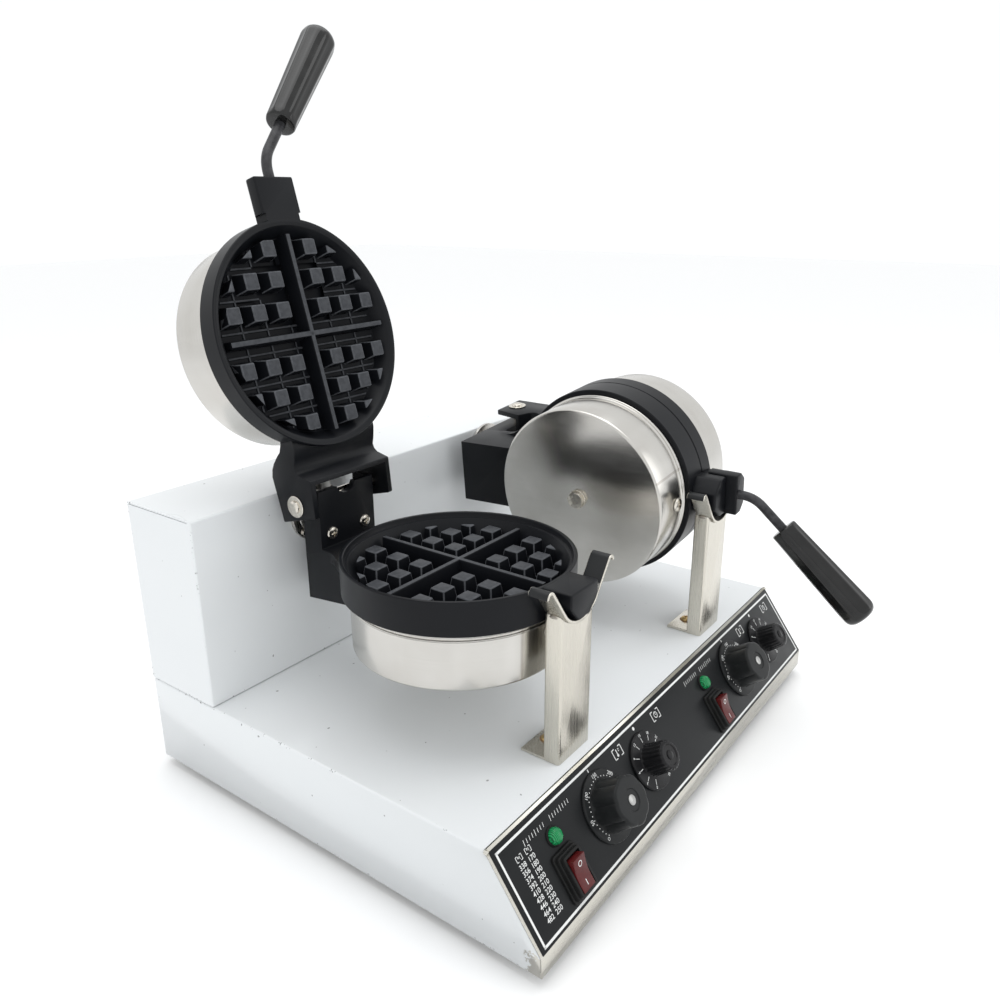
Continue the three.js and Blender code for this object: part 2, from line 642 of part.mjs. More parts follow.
function standGroup(side, centre) {
  return groupOf([
    part(`${side}_post`, post(), 'steel'),
    part(`${side}_cradle`, cradle(), 'steel'),
    part(`${side}_post_screw`, postScrew(), 'brass'),
    part(`${side}_shaft_bearing`, shaftBearing(), 'zinc'),
  ], [centre, HEAD_Y, ROLL_Z]);
}

const group = groupOf([
  baseGroup(),
  controlGroup('left', SIDES[0]),
  controlGroup('right', SIDES[1]),
  standGroup('left', SIDES[0]),
  standGroup('right', SIDES[1]),
  headGroup('left', SIDES[0], 0, LID_OPEN_LEFT),
  headGroup('right', SIDES[1], ROLL_RIGHT, 0),
]);

export default group;
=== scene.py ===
"""A twin rotary waffle maker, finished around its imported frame. Metres, +Z up, front towards -Y."""
import json
import math

import bmesh
import bpy
from mathutils import Matrix, Vector

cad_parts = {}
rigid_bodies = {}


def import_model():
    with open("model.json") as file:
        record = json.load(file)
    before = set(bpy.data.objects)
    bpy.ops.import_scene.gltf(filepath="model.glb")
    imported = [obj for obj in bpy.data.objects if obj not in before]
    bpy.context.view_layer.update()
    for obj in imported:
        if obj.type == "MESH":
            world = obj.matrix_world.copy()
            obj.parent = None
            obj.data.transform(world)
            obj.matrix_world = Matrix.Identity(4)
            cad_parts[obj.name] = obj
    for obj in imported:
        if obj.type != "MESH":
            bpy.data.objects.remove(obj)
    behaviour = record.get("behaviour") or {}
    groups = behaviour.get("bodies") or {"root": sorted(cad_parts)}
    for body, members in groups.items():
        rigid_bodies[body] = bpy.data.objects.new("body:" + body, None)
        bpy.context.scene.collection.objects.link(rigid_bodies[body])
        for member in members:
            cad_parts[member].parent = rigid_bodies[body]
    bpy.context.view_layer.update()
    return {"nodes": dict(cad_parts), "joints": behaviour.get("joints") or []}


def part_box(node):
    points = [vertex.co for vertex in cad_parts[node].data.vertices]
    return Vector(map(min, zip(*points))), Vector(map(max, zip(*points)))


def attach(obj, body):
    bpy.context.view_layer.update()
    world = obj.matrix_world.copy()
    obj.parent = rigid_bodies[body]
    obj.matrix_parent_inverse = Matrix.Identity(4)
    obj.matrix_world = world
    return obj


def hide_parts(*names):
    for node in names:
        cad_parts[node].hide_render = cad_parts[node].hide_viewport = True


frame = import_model()

# ---- camera --------------------------------------------------------------------------------------
# A short lens off the machine's front left corner, about level with the open lid's top edge, tilted
# down to the base and all but level from side to side.
lens = bpy.data.cameras.new("camera")
lens.lens = 31.19
lens.sensor_width = 36.0
camera = bpy.data.objects.new("camera", lens)
bpy.context.scene.collection.objects.link(camera)
turn, tilt, lean = (math.radians(angle) for angle in (-53.567, 19.034, -0.248))
camera.matrix_world = (
    Matrix.Translation((-0.6718, -0.4456, 0.5347))
    @ Matrix.Rotation(turn, 4, "Z")
    @ Matrix.Rotation(math.pi / 2 - tilt, 4, "X")
    @ Matrix.Rotation(lean, 4, "Z")
)
bpy.context.scene.camera = camera


# ---- floor and light -----------------------------------------------------------------------------
# A pale studio floor that runs out of sight, one wide soft light high at the front left, a ceiling
# light, and a weak one from the right, in an even pale surround.
def node(material, kind, inputs=None, **settings):
    made = material.node_tree.nodes.new("ShaderNode" + kind)
    for key, value in settings.items():
        setattr(made, key, value)
    for key, value in (inputs or {}).items():
        if isinstance(value, bpy.types.NodeSocket):
            material.node_tree.links.new(value, made.inputs[key])
        else:
            made.inputs[key].default_value = value
    return made


def finish(name, colour, roughness, metallic=0.0, **sockets):
    """A new material, with the plain values of its shader set, and the shader itself."""
    material = bpy.data.materials.new(name)
    material.use_nodes = True
    shader = material.node_tree.nodes["Principled BSDF"]
    shader.inputs["Base Color"].default_value = (*colour, 1.0)
    shader.inputs["Roughness"].default_value = roughness
    shader.inputs["Metallic"].default_value = metallic
    for key, value in sockets.items():
        shader.inputs[key.replace("_", " ")].default_value = value
    return material, shader


def noise(material, vector, scale, detail=3.0, roughness=0.55):
    made = node(material, "TexNoise", {
        "Vector": vector, "Scale": scale, "Detail": detail, "Roughness": roughness})
    return made.outputs[0]


def mixed(material, factor, first, second):
    made = node(material, "Mix", data_type="RGBA")
    for socket, value in zip((made.inputs[0], made.inputs[6], made.inputs[7]), (factor, first, second)):
        if isinstance(value, bpy.types.NodeSocket):
            material.node_tree.links.new(value, socket)
        elif isinstance(value, (int, float)):
            socket.default_value = value
        else:
            socket.default_value = (*value, 1.0)
    return made.outputs[2]


def wire(material, socket, value):
    material.node_tree.links.new(value, socket)


floor_finish, floor_shader = finish("studio_floor", (0.93, 0.935, 0.94), 0.7)
floor_place = node(floor_finish, "TexCoord").outputs["Object"]
floor_grain = noise(floor_finish, floor_place, 30.0)
wire(floor_finish, floor_shader.inputs["Base Color"],
     mixed(floor_finish, floor_grain, (0.96, 0.962, 0.965), (0.98, 0.982, 0.984)))
floor_shape = bmesh.new()
bmesh.ops.create_grid(floor_shape, x_segments=1, y_segments=1, size=8)
floor_mesh = bpy.data.meshes.new("floor")
floor_shape.to_mesh(floor_mesh)
floor_mesh.materials.append(floor_finish)
floor = bpy.data.objects.new("floor", floor_mesh)
bpy.context.scene.collection.objects.link(floor)

surround = bpy.data.worlds.new("surround")
surround.use_nodes = True
surround.node_tree.nodes["Background"].inputs["Color"].default_value = (0.985, 0.995, 1.0, 1.0)
surround.node_tree.nodes["Background"].inputs["Strength"].default_value = 1.02
bpy.context.scene.world = surround
bpy.context.scene.view_settings.view_transform = "Standard"


def softbox(name, place, aim, size, watts, colour=(1.0, 1.0, 1.0)):
    light = bpy.data.lights.new(name, "AREA")
    light.shape = "RECTANGLE"
    light.size, light.size_y = size
    light.energy = watts
    light.color = colour
    lamp = bpy.data.objects.new(name, light)
    bpy.context.scene.collection.objects.link(lamp)
    direction = Vector(aim) - Vector(place)
    lamp.matrix_world = Matrix.Translation(place) @ direction.to_track_quat("-Z", "Y").to_matrix().to_4x4()


softbox("key", (-1.7, -1.1, 1.5), (0, 0, 0.2), (1.6, 1.2), 0.6, (1.0, 0.985, 0.96))
softbox("ceiling", (0.1, 0.1, 2.2), (0, 0, 0), (1.8, 1.8), 15)
softbox("fill", (1.2, -1.8, 0.9), (0, 0, 0.2), (1.0, 1.4), 4)


# ---- base shell ----------------------------------------------------------------------------------
# One sheet of white coated steel, folded down at the sides and back, and open underneath and behind
# the sloped front. The coat is chipped along the folds, and torn off at the low front corners.
def prism(outline, axis, start, end):
    """An outline drawn across an axis, run along it from start to end, as a closed shape."""
    place = {
        "X": lambda a, b, d: (d, a, b),
        "Y": lambda a, b, d: (a, d, b),
        "Z": lambda a, b, d: (a, b, d),
    }[axis]
    shape = bmesh.new()
    face = shape.faces.new([shape.verts.new(place(a, b, start)) for a, b in outline])
    run = bmesh.ops.extrude_face_region(shape, geom=[face])["geom"]
    far_end = [item for item in run if isinstance(item, bmesh.types.BMVert)]
    bmesh.ops.translate(shape, vec=place(0, 0, end - start), verts=far_end)
    bmesh.ops.recalc_face_normals(shape, faces=shape.faces)
    return shape


def soften(shape, width, segments=2, angle=30, only=lambda edge: True):
    """Rounds the edges whose two faces meet more sharply than an angle."""
    sharp = [edge for edge in shape.edges if len(edge.link_faces) == 2
             and edge.calc_face_angle(0) > math.radians(angle) and only(edge)]
    bmesh.ops.bevel(shape, geom=sharp, offset=width, offset_type="OFFSET", segments=segments,
                    profile=0.5, affect="EDGES", clamp_overlap=True, material=-1)
    return shape


def meshed(shape, *materials, smooth=35):
    """The finished mesh of a shape, which remembers each point's place on its own piece."""
    mesh = bpy.data.meshes.new("piece")
    shape.to_mesh(mesh)
    shape.free()
    for material in materials:
        mesh.materials.append(material)
    mesh.shade_smooth()
    mesh.set_sharp_from_angle(angle=math.radians(smooth))
    own = mesh.attributes.new("own", "FLOAT_VECTOR", "POINT")
    for item, vert in zip(own.data, mesh.vertices):
        item.vector = vert.co
    return mesh


def fitted(mesh, name, body, slot, *nodes, place=None):
    """A piece made of that mesh, put in its place, riding on a body and standing for CAD nodes."""
    made = bpy.data.objects.new(name, mesh.copy())
    made.data.name = name
    if place is not None:
        made.data.transform(place)
    bpy.context.scene.collection.objects.link(made)
    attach(made, body)
    if nodes:
        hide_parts(*nodes)
    return made


def ramped(material, value, low, high, out_low, out_high):
    return node(material, "MapRange", {
        "Value": value, 1: low, 2: high, 3: out_low, 4: out_high}).outputs["Result"]


def near_plane(material, axis_value, at, reach):
    """1 on a plane across an axis, falling to 0 within a reach of it."""
    away = node(material, "Math", {0: axis_value, 1: at}, operation="SUBTRACT").outputs[0]
    away = node(material, "Math", {0: away}, operation="ABSOLUTE").outputs[0]
    return ramped(material, away, 0.0, reach, 1.0, 0.0)


def product(material, *values):
    total = values[0]
    for value in values[1:]:
        total = node(material, "Math", {0: total, 1: value}, operation="MULTIPLY").outputs[0]
    return total


def greatest(material, *values):
    total = values[0]
    for value in values[1:]:
        total = node(material, "Math", {0: total, 1: value}, operation="MAXIMUM").outputs[0]
    return total


def bumped(material, shader, height, distance, strength=1.0):
    made = node(material, "Bump", {"Height": height, "Distance": distance, "Strength": strength})
    material.node_tree.links.new(made.outputs["Normal"], shader.inputs["Normal"])


SHEET = 0.0015
FOLD = 0.0022
base_low, base_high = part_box("base_shell")
fascia_low, fascia_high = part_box("front_fascia")


CHIP_REACH = 0.0022
TORN = {"back": 0.012, "high": 0.016, "ragged": 0.006, "edge": 0.0005}


def coated_sheet(name, folds, bare_corner):
    """White coated steel with chips near the listed folds: pairs of planes, each an axis and a value."""
    material, shader = finish(name, (0.78, 0.8, 0.81), 0.32, Coat_Weight=0.25, Coat_Roughness=0.2)
    place = node(material, "TexCoord").outputs["Object"]
    axes = node(material, "SeparateXYZ", {"Vector": place}).outputs
    cloud = noise(material, place, 6.0)
    body = mixed(material, cloud, (0.745, 0.77, 0.785), (0.785, 0.805, 0.815))
    chips = ramped(material, noise(material, place, 420.0, 2.0, 0.7), 0.6, 0.66, 0.0, 1.0)
    runs = ramped(material, noise(material, place, 38.0, 2.0), 0.52, 0.6, 0.0, 1.0)
    worn = None
    for (axis_a, value_a), (axis_b, value_b) in folds:
        band = product(material, near_plane(material, axes[axis_a], value_a, CHIP_REACH),
                       near_plane(material, axes[axis_b], value_b, CHIP_REACH))
        band = ramped(material, band, 0.12, 0.3, 0.0, 1.0)
        worn = band if worn is None else greatest(material, worn, band)
    worn = product(material, worn, chips, runs)
    specks = ramped(material, noise(material, place, 190.0, 1.0, 0.4), 0.795, 0.81, 0.0, 0.7)
    marks = greatest(material, worn, specks)
    if bare_corner:
        front, low = bare_corner
        ragged = noise(material, place, 160.0, 3.0, 0.7)
        ragged = ramped(material, ragged, 0.3, 0.7, -TORN["ragged"], TORN["ragged"])
        back = node(material, "Math", {0: axes[1], 1: ragged}, operation="ADD").outputs[0]
        high = node(material, "Math", {0: axes[2], 1: ragged}, operation="ADD").outputs[0]
        end_back, end_high = front + TORN["back"], low + TORN["high"]
        torn = product(material, ramped(material, back, end_back, end_back + TORN["edge"], 1.0, 0.0),
                       ramped(material, high, end_high, end_high + TORN["edge"], 1.0, 0.0))
        wire(material, shader.inputs["Metallic"], torn)
        body = mixed(material, torn, body, (0.6, 0.585, 0.54))
    wire(material, shader.inputs["Base Color"], mixed(material, marks, body, (0.1, 0.1, 0.1)))
    orange_peel = noise(material, place, 900.0, 2.0)
    dents = noise(material, place, 14.0, 2.0)
    surface = node(material, "Math", {0: orange_peel, 1: dents}, operation="ADD").outputs[0]
    bumped(material, shader, surface, 0.00006)
    return material


base_white = coated_sheet(
    "white_coat_base",
    [((0, side * base_high.x), fold) for side in (-1, 1)
     for fold in ((2, base_high.z), (2, base_low.z), (1, base_high.y))],
    (fascia_low.y, base_low.z))

LIP = 0.018
lip_top = base_high.z - (fascia_high.z - fascia_low.z - LIP)
front_set = base_low.y - fascia_low.y
shell = prism([
    (base_high.y, base_low.z), (base_high.y, base_high.z), (fascia_high.y + front_set, base_high.z),
    (base_low.y, lip_top + 0.0006), (base_low.y, base_low.z),
], "X", base_low.x, base_high.x)
shell_open = [face for face in shell.faces if face.normal.z < -0.5 or face.normal.y < -0.5]
bmesh.ops.delete(shell, geom=shell_open, context="FACES")
bmesh.ops.recalc_face_normals(shell, faces=shell.faces)
soften(shell, FOLD, 4, 60)
shell_mesh = meshed(shell, base_white)
shell_piece = fitted(shell_mesh, "base_shell_folded", "base", "white_sheet", "base_shell")
shell_wall = shell_piece.modifiers.new("wall", "SOLIDIFY")
shell_wall.thickness = SHEET
shell_wall.offset = -1.0
shell_wall.use_even_offset = True

# ---- rear housing --------------------------------------------------------------------------------
# A white coated box across the back. Its front is folded round into its sides and its top, and the
# top meets each side at an open seam. It stands on the base shell with a dark hairline under it.
def slab(low, high):
    """A box between two corners."""
    low, high = Vector(low), Vector(high)
    shape = bmesh.new()
    bmesh.ops.create_cube(shape, size=1)
    bmesh.ops.scale(shape, vec=high - low, verts=shape.verts)
    bmesh.ops.translate(shape, vec=(low + high) / 2, verts=shape.verts)
    return shape


def middle(item):
    return sum((vert.co for vert in item.verts), Vector()) / len(item.verts)


def combined(shape, others, operation):
    """A closed shape with others joined to it, cut from it, or kept where they all meet."""
    def blank(part):
        mesh = bpy.data.meshes.new("blank")
        part.to_mesh(mesh)
        part.free()
        return bpy.data.objects.new("blank", mesh)

    tools = bpy.data.collections.new("tools")
    bpy.context.scene.collection.children.link(tools)
    for other in others:
        tools.objects.link(blank(other))
    worked = blank(shape)
    bpy.context.scene.collection.objects.link(worked)
    modifier = worked.modifiers.new("work", "BOOLEAN")
    modifier.operand_type = "COLLECTION"
    modifier.collection = tools
    modifier.operation = operation
    modifier.solver = "EXACT"
    modifier.use_self = operation == "UNION"
    graph = bpy.context.evaluated_depsgraph_get()
    made = bpy.data.meshes.new_from_object(worked.evaluated_get(graph))
    result = bmesh.new()
    result.from_mesh(made)
    for spent in [*tools.objects, worked]:
        bpy.data.objects.remove(spent)
    bpy.data.collections.remove(tools)
    bmesh.ops.remove_doubles(result, verts=result.verts, dist=2e-6)
    bmesh.ops.dissolve_degenerate(result, edges=result.edges, dist=2e-6)
    return result


rear_low, rear_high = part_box("rear_housing")
housing_white = coated_sheet(
    "white_coat_housing",
    [((0, side * rear_high.x), fold) for side in (-1, 1)
     for fold in ((2, rear_high.z), (1, rear_low.y), (1, rear_high.y), (2, rear_low.z))]
    + [((1, rear_low.y), (2, rear_low.z))], None)
HAIRLINE = 0.0007
housing = slab((rear_low.x, rear_low.y, rear_low.z + HAIRLINE), rear_high)
bmesh.ops.delete(housing, geom=[face for face in housing.faces
                                if face.normal.z < -0.5 or face.normal.y > 0.5], context="FACES")
soften(housing, FOLD, 4, 60, lambda edge: middle(edge).y < rear_low.y + 0.001)
bmesh.ops.solidify(housing, geom=housing.faces, thickness=SHEET)
bmesh.ops.recalc_face_normals(housing, faces=housing.faces)
SEAM_INSET, SEAM_HALF = 0.0012, 0.002
seam_top = rear_high.z - SHEET
seams = [slab((side * (rear_high.x - SEAM_INSET) - SEAM_HALF, rear_low.y + 0.004, seam_top - 0.0007),
              (side * (rear_high.x - SEAM_INSET) + SEAM_HALF, rear_high.y + 0.001, seam_top))
         for side in (-1, 1)]
SIDES = ("left", "right")
SHAFT_HOLE = 0.0183
shaft_holes = []
for side in SIDES:
    hole_low, hole_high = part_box(f"{side}_shaft_bearing")
    hole = bmesh.new()
    bmesh.ops.create_cone(hole, cap_ends=True, segments=48, radius1=SHAFT_HOLE, radius2=SHAFT_HOLE,
                          depth=0.02,
                          matrix=Matrix.Translation(((hole_low.x + hole_high.x) / 2, rear_low.y,
                                                     (hole_low.z + hole_high.z) / 2))
                          @ Matrix.Rotation(math.pi / 2, 4, "X"))
    shaft_holes.append(hole)
housing = combined(housing, seams + shaft_holes, "DIFFERENCE")
housing_mesh = meshed(housing, housing_white)
fitted(housing_mesh, "rear_housing_folded", "base", "white_sheet", "rear_housing")

# The lifted edge of the coat's film at the housing's front left corner, a curled sliver.
FILM = {"length": 0.026, "width": 0.0032, "lift": 0.0016}
film = bmesh.new()
bmesh.ops.create_grid(film, x_segments=12, y_segments=3, size=0.5)
bmesh.ops.scale(film, vec=(FILM["length"], FILM["width"], 1), verts=film.verts)
for vert in film.verts:
    along = vert.co.x / FILM["length"] + 0.5
    rise = math.sin(math.pi * along) ** 2
    vert.co.z = FILM["lift"] * rise * (0.5 - vert.co.y / FILM["width"])
    vert.co.y *= 0.3 + 0.7 * rise
bmesh.ops.rotate(film, cent=(0, 0, 0), matrix=Matrix.Rotation(math.pi / 2, 3, "Z"), verts=film.verts)
bmesh.ops.translate(film, vec=(rear_low.x + 0.0017, rear_low.y + 0.02, rear_high.z + 0.0001),
                    verts=film.verts)
film_piece = fitted(meshed(film, housing_white), "housing_film_edge", "base", "white_sheet")
film_wall = film_piece.modifiers.new("wall", "SOLIDIFY")
film_wall.thickness = 0.0002

# ---- rear cover, base pan, feet and cord gland ---------------------------------------------------
# The back of the housing is a flat white sheet held by small pan-head screws. The pan under the base
# is bare stainless sheet. The feet are moulded rubber, and the gland is a moulded rubber bush.
def lathe(profile, steps=64, closed=False):
    """A profile of (radius, height) points turned once round Z."""
    shape = bmesh.new()
    points = [shape.verts.new((radius, 0, height)) for radius, height in profile]
    lines = [shape.edges.new(pair) for pair in zip(points, points[1:] + points[:1] * closed)]
    bmesh.ops.spin(shape, geom=points + lines, axis=(0, 0, 1), cent=(0, 0, 0), angle=2 * math.pi,
                   steps=steps, use_merge=True)
    bmesh.ops.remove_doubles(shape, verts=shape.verts, dist=1e-6)
    bmesh.ops.recalc_face_normals(shape, faces=shape.faces)
    return shape


def own_place(material):
    """Where a point lies on its own piece, whichever way that piece is turned in the machine."""
    return node(material, "Attribute", attribute_name="own").outputs["Vector"]


def stretched(material, vector, scale):
    return node(material, "Mapping", {"Vector": vector, "Scale": scale}).outputs["Vector"]


def brushed(name, colour, roughness, lengthwise, across=1500.0, depth=0.00002, smoky=0.12, **sockets):
    """Bare metal rubbed along one of the piece's own axes, clouded by handling."""
    material, shader = finish(name, colour, roughness, 1.0, **sockets)
    place = own_place(material)
    scale = [across] * 3
    scale[lengthwise] = across / 60
    lines = noise(material, stretched(material, place, scale), 1.0, 2.0)
    cloud = noise(material, place, 24.0)
    darker = tuple(part * (1 - smoky) for part in colour)
    lighter = tuple(min(1.0, part * (1 + smoky / 2)) for part in colour)
    tint = mixed(material, ramped(material, lines, 0.3, 0.7, 0.0, 1.0), darker, lighter)
    tint = mixed(material, ramped(material, cloud, 0.35, 0.65, 0.0, 0.5), tint, darker)
    wire(material, shader.inputs["Base Color"], tint)
    wire(material, shader.inputs["Roughness"],
         ramped(material, lines, 0.3, 0.7, roughness - 0.06, roughness + 0.08))
    bumped(material, shader, lines, depth)
    return material


def plated(name, colour=(0.75, 0.71, 0.64), roughness=0.16):
    """Bright nickel or passivated plate, a little uneven."""
    material, shader = finish(name, colour, roughness, 1.0)
    place = own_place(material)
    cloud = noise(material, place, 320.0)
    darker = tuple(part * 0.72 for part in colour)
    wire(material, shader.inputs["Base Color"],
         mixed(material, ramped(material, cloud, 0.4, 0.7, 0.0, 1.0), colour, darker))
    wire(material, shader.inputs["Roughness"],
         ramped(material, cloud, 0.3, 0.7, roughness, roughness + 0.14))
    return material


def moulded(name, colour, roughness, grain=2400.0, depth=0.000012, **sockets):
    """Moulded rubber or plastic with a fine even grain."""
    material, shader = finish(name, colour, roughness, 0.0, **sockets)
    place = own_place(material)
    speck = noise(material, place, grain, 2.0)
    cloud = noise(material, place, 60.0)
    lighter = tuple(part * 1.5 + 0.004 for part in colour)
    wire(material, shader.inputs["Base Color"],
         mixed(material, ramped(material, cloud, 0.35, 0.7, 0.0, 0.6), colour, lighter))
    wire(material, shader.inputs["Roughness"],
         ramped(material, cloud, 0.3, 0.7, roughness - 0.05, roughness + 0.07))
    bumped(material, shader, speck, depth)
    return material


def node_finish(material, *nodes):
    """Gives CAD pieces that keep their shape a better finish."""
    for name in nodes:
        mesh = frame["nodes"][name].data
        own = mesh.attributes.new("own", "FLOAT_VECTOR", "POINT")
        for item, vert in zip(own.data, mesh.vertices):
            item.vector = vert.co
        mesh.materials.clear()
        mesh.materials.append(material)


nickel = plated("nickel_plate")
rubber = moulded("black_rubber", (0.008, 0.008, 0.008), 0.5, Specular_IOR_Level=0.2)
pan_steel = brushed("pan_stainless", (0.6, 0.6, 0.58), 0.34, 0)
node_finish(pan_steel, "base_pan")


def pan_screw(radius, height, depth, slot_width=0.0):
    """A domed screw head on z = 0, with a cross cut in it and a plain shank below."""
    shape = lathe([(0, -depth), (radius * 0.42, -depth), (radius * 0.42, 0), (radius * 0.96, 0),
                   (radius, height * 0.2), (radius * 0.9, height * 0.62), (radius * 0.6, height * 0.9),
                   (0, height)], 32)
    if slot_width:
        arms = [slab((-long, -wide, height * 0.45), (long, wide, height * 2))
                for long, wide in ((radius * 0.5, slot_width / 2), (slot_width / 2, radius * 0.5))]
        shape = combined(shape, arms, "DIFFERENCE")
    return shape


cover_low, cover_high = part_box("rear_cover")
cover = soften(slab(cover_low, cover_high), 0.0004, 2)
fitted(meshed(cover, housing_white), "rear_cover_sheet", "base", "white_sheet", "rear_cover")
cover_screw = meshed(pan_screw(0.0035, 0.0018, 0.004, 0.0009), nickel)
SCREW_INSET = 0.011
for column in (-1, 0, 1):
    for row, height in enumerate((cover_low.z + SCREW_INSET, cover_high.z - SCREW_INSET)):
        spot = Matrix.Translation((column * (cover_high.x - SCREW_INSET), cover_high.y, height))
        fitted(cover_screw, f"rear_cover_screw_{column + 2}_{row + 1}", "base", "plated_steel",
               place=spot @ Matrix.Rotation(-math.pi / 2, 4, "X"))

foot_low, foot_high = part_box("foot_front_left")
foot_radius = (foot_high.x - foot_low.x) / 2
foot_height = foot_high.z - foot_low.z
foot_shape = lathe([
    (0, 0.0035), (0.0045, 0.0035), (0.006, 0), (0.0125, 0), (foot_radius - 0.0022, 0.0012),
    (foot_radius, foot_height - 0.0012), (foot_radius, foot_height), (0, foot_height)], 48)
soften(foot_shape, 0.0007, 2, 25)
foot_mesh = meshed(foot_shape, rubber)
for corner in ("front_left", "front_right", "rear_left", "rear_right"):
    low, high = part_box(f"foot_{corner}")
    spot = Matrix.Translation(((low.x + high.x) / 2, (low.y + high.y) / 2, low.z))
    fitted(foot_mesh, f"foot_{corner}_moulded", "base", "rubber", f"foot_{corner}", place=spot)

gland_low, gland_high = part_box("cord_gland")
gland = lathe([
    (0.0042, -0.0058), (0.0066, -0.0058), (0.0066, 0.0004), (0.0118, 0.0004), (0.0118, 0.003),
    (0.0094, 0.0044), (0.0088, 0.0072), (0.0093, 0.0086), (0.0085, 0.0104), (0.0088, 0.0118),
    (0.0078, 0.0138), (0.0081, 0.015), (0.007, 0.0178), (0.0042, 0.0178)], 48, closed=True)
soften(gland, 0.0004, 2, 25)
gland_spot = Matrix.Translation((
    (gland_low.x + gland_high.x) / 2, base_high.y, (gland_low.z + gland_high.z) / 2))
fitted(meshed(gland, rubber), "cord_gland_moulded", "base", "rubber", "cord_gland",
       place=gland_spot @ Matrix.Rotation(-math.pi / 2, 4, "X"))

# ---- front fascia --------------------------------------------------------------------------------
# One strip of bare stainless sheet: the sloped face behind the controls, and the low lip that stays
# bright under the black overlay.
fascia_steel = brushed("fascia_stainless", (0.66, 0.64, 0.58), 0.3, 0, smoky=0.08)
fascia_outline = [
    (fascia_high.y, fascia_high.z), (fascia_low.y, lip_top), (fascia_low.y, fascia_low.z)]
fascia = bmesh.new()
fascia_points = [fascia.verts.new((fascia_low.x, y, z)) for y, z in fascia_outline]
fascia_lines = [fascia.edges.new(pair) for pair in zip(fascia_points, fascia_points[1:])]
fascia_run = bmesh.ops.extrude_edge_only(fascia, edges=fascia_lines)["geom"]
bmesh.ops.translate(fascia, vec=(fascia_high.x - fascia_low.x, 0, 0),
                    verts=[item for item in fascia_run if isinstance(item, bmesh.types.BMVert)])
bmesh.ops.recalc_face_normals(fascia, faces=fascia.faces)
if fascia.faces[:][0].normal.y > 0:
    bmesh.ops.reverse_faces(fascia, faces=fascia.faces)
soften(fascia, 0.0016, 3, 20)
fascia_piece = fitted(meshed(fascia, fascia_steel), "front_fascia_folded", "base", "stainless",
                      "front_fascia")
fascia_wall = fascia_piece.modifiers.new("wall", "SOLIDIFY")
fascia_wall.thickness = SHEET
fascia_wall.offset = -1.0
fascia_wall.use_even_offset = True

# A bright bead of solder closes the corner where the fascia meets the base shell's top, each side.
for side, name in ((-1, "left"), (1, "right")):
    bead = bmesh.new()
    bmesh.ops.create_icosphere(bead, subdivisions=3, radius=0.0021)
    for vert in bead.verts:
        vert.co *= 1 + 0.12 * math.sin(2400 * vert.co.x + 1800 * vert.co.z)
    spot = Matrix.Translation((
        side * (base_high.x - 0.0006), fascia_high.y - 0.0006, fascia_high.z - 0.0012))
    fitted(meshed(bead, fascia_steel), f"{name}_corner_bead", "base", "stainless", place=spot)

# ---- control panel -------------------------------------------------------------------------------
# A thin black sheet stuck on the fascia's slope, screen printed in white: a border line, a scale of
# figures at the left end, and a small sign over each dial. Words are left out.
joints = {joint["name"]: joint for joint in frame["joints"]}
inward = Vector(joints["left_thermostat_turn"]["axis"]).normalized()
up_slope = Vector((0, -inward.z, inward.y))
panel_place = Matrix((
    (1, 0, 0, 0),
    (0, up_slope.y, -inward.y, fascia_low.y),
    (0, up_slope.z, -inward.z, lip_top),
    (0, 0, 0, 1),
))
PANEL = {"half": 0.2735, "low": 0.0012, "high": 0.083, "back": 0.0003, "face": 0.0012}
INK = 0.00006

overlay, overlay_shader = finish("panel_black", (0.013, 0.014, 0.015), 0.36, Specular_IOR_Level=0.14)
overlay_spot = own_place(overlay)
overlay_cloud = noise(overlay, overlay_spot, 26.0)
wire(overlay, overlay_shader.inputs["Base Color"],
     mixed(overlay, overlay_cloud, (0.011, 0.012, 0.013), (0.018, 0.019, 0.02)))
wire(overlay, overlay_shader.inputs["Roughness"], ramped(overlay, overlay_cloud, 0.3, 0.7, 0.28, 0.4))
bumped(overlay, overlay_shader, noise(overlay, overlay_spot, 3000.0, 1.0), 0.000008)

ink, ink_shader = finish("white_ink", (0.78, 0.79, 0.78), 0.5)
ink_worn = ramped(ink, noise(ink, own_place(ink), 1500.0, 2.0), 0.62, 0.7, 0.0, 1.0)
wire(ink, ink_shader.inputs["Base Color"], mixed(ink, ink_worn, (0.78, 0.79, 0.78), (0.35, 0.35, 0.35)))

panel = slab((-PANEL["half"], PANEL["low"], PANEL["back"]),
             (PANEL["half"], PANEL["high"], PANEL["face"]))
soften(panel, 0.0003, 2)
fitted(meshed(panel, overlay), "control_panel_printed", "base", "panel_overlay", "control_panel",
       place=panel_place)


def gathered(shapes):
    """Several loose closed shapes as one."""
    whole = bmesh.new()
    for shape in shapes:
        mesh = bpy.data.meshes.new("gathered")
        shape.to_mesh(mesh)
        whole.from_mesh(mesh)
        shape.free()
        bpy.data.meshes.remove(mesh)
    return whole


def stroke(x, s, x_end, s_end, width, lift=PANEL["face"]):
    """A printed line on the panel between two points."""
    run = Vector((x_end - x, s_end - s, 0))
    shape = slab((-width / 2, -width / 2, 0), (run.length + width / 2, width / 2, INK))
    bmesh.ops.rotate(shape, cent=(0, 0, 0), verts=shape.verts,
                     matrix=Matrix.Rotation(math.atan2(run.y, run.x), 3, "Z"))
    bmesh.ops.translate(shape, vec=(x, s, lift), verts=shape.verts)
    return shape


def dot(x, s, radius, lift=PANEL["face"]):
    shape = bmesh.new()
    bmesh.ops.create_cone(shape, cap_ends=True, segments=20, radius1=radius, radius2=radius, depth=INK,
                          matrix=Matrix.Translation((x, s, lift + INK / 2)))
    return shape


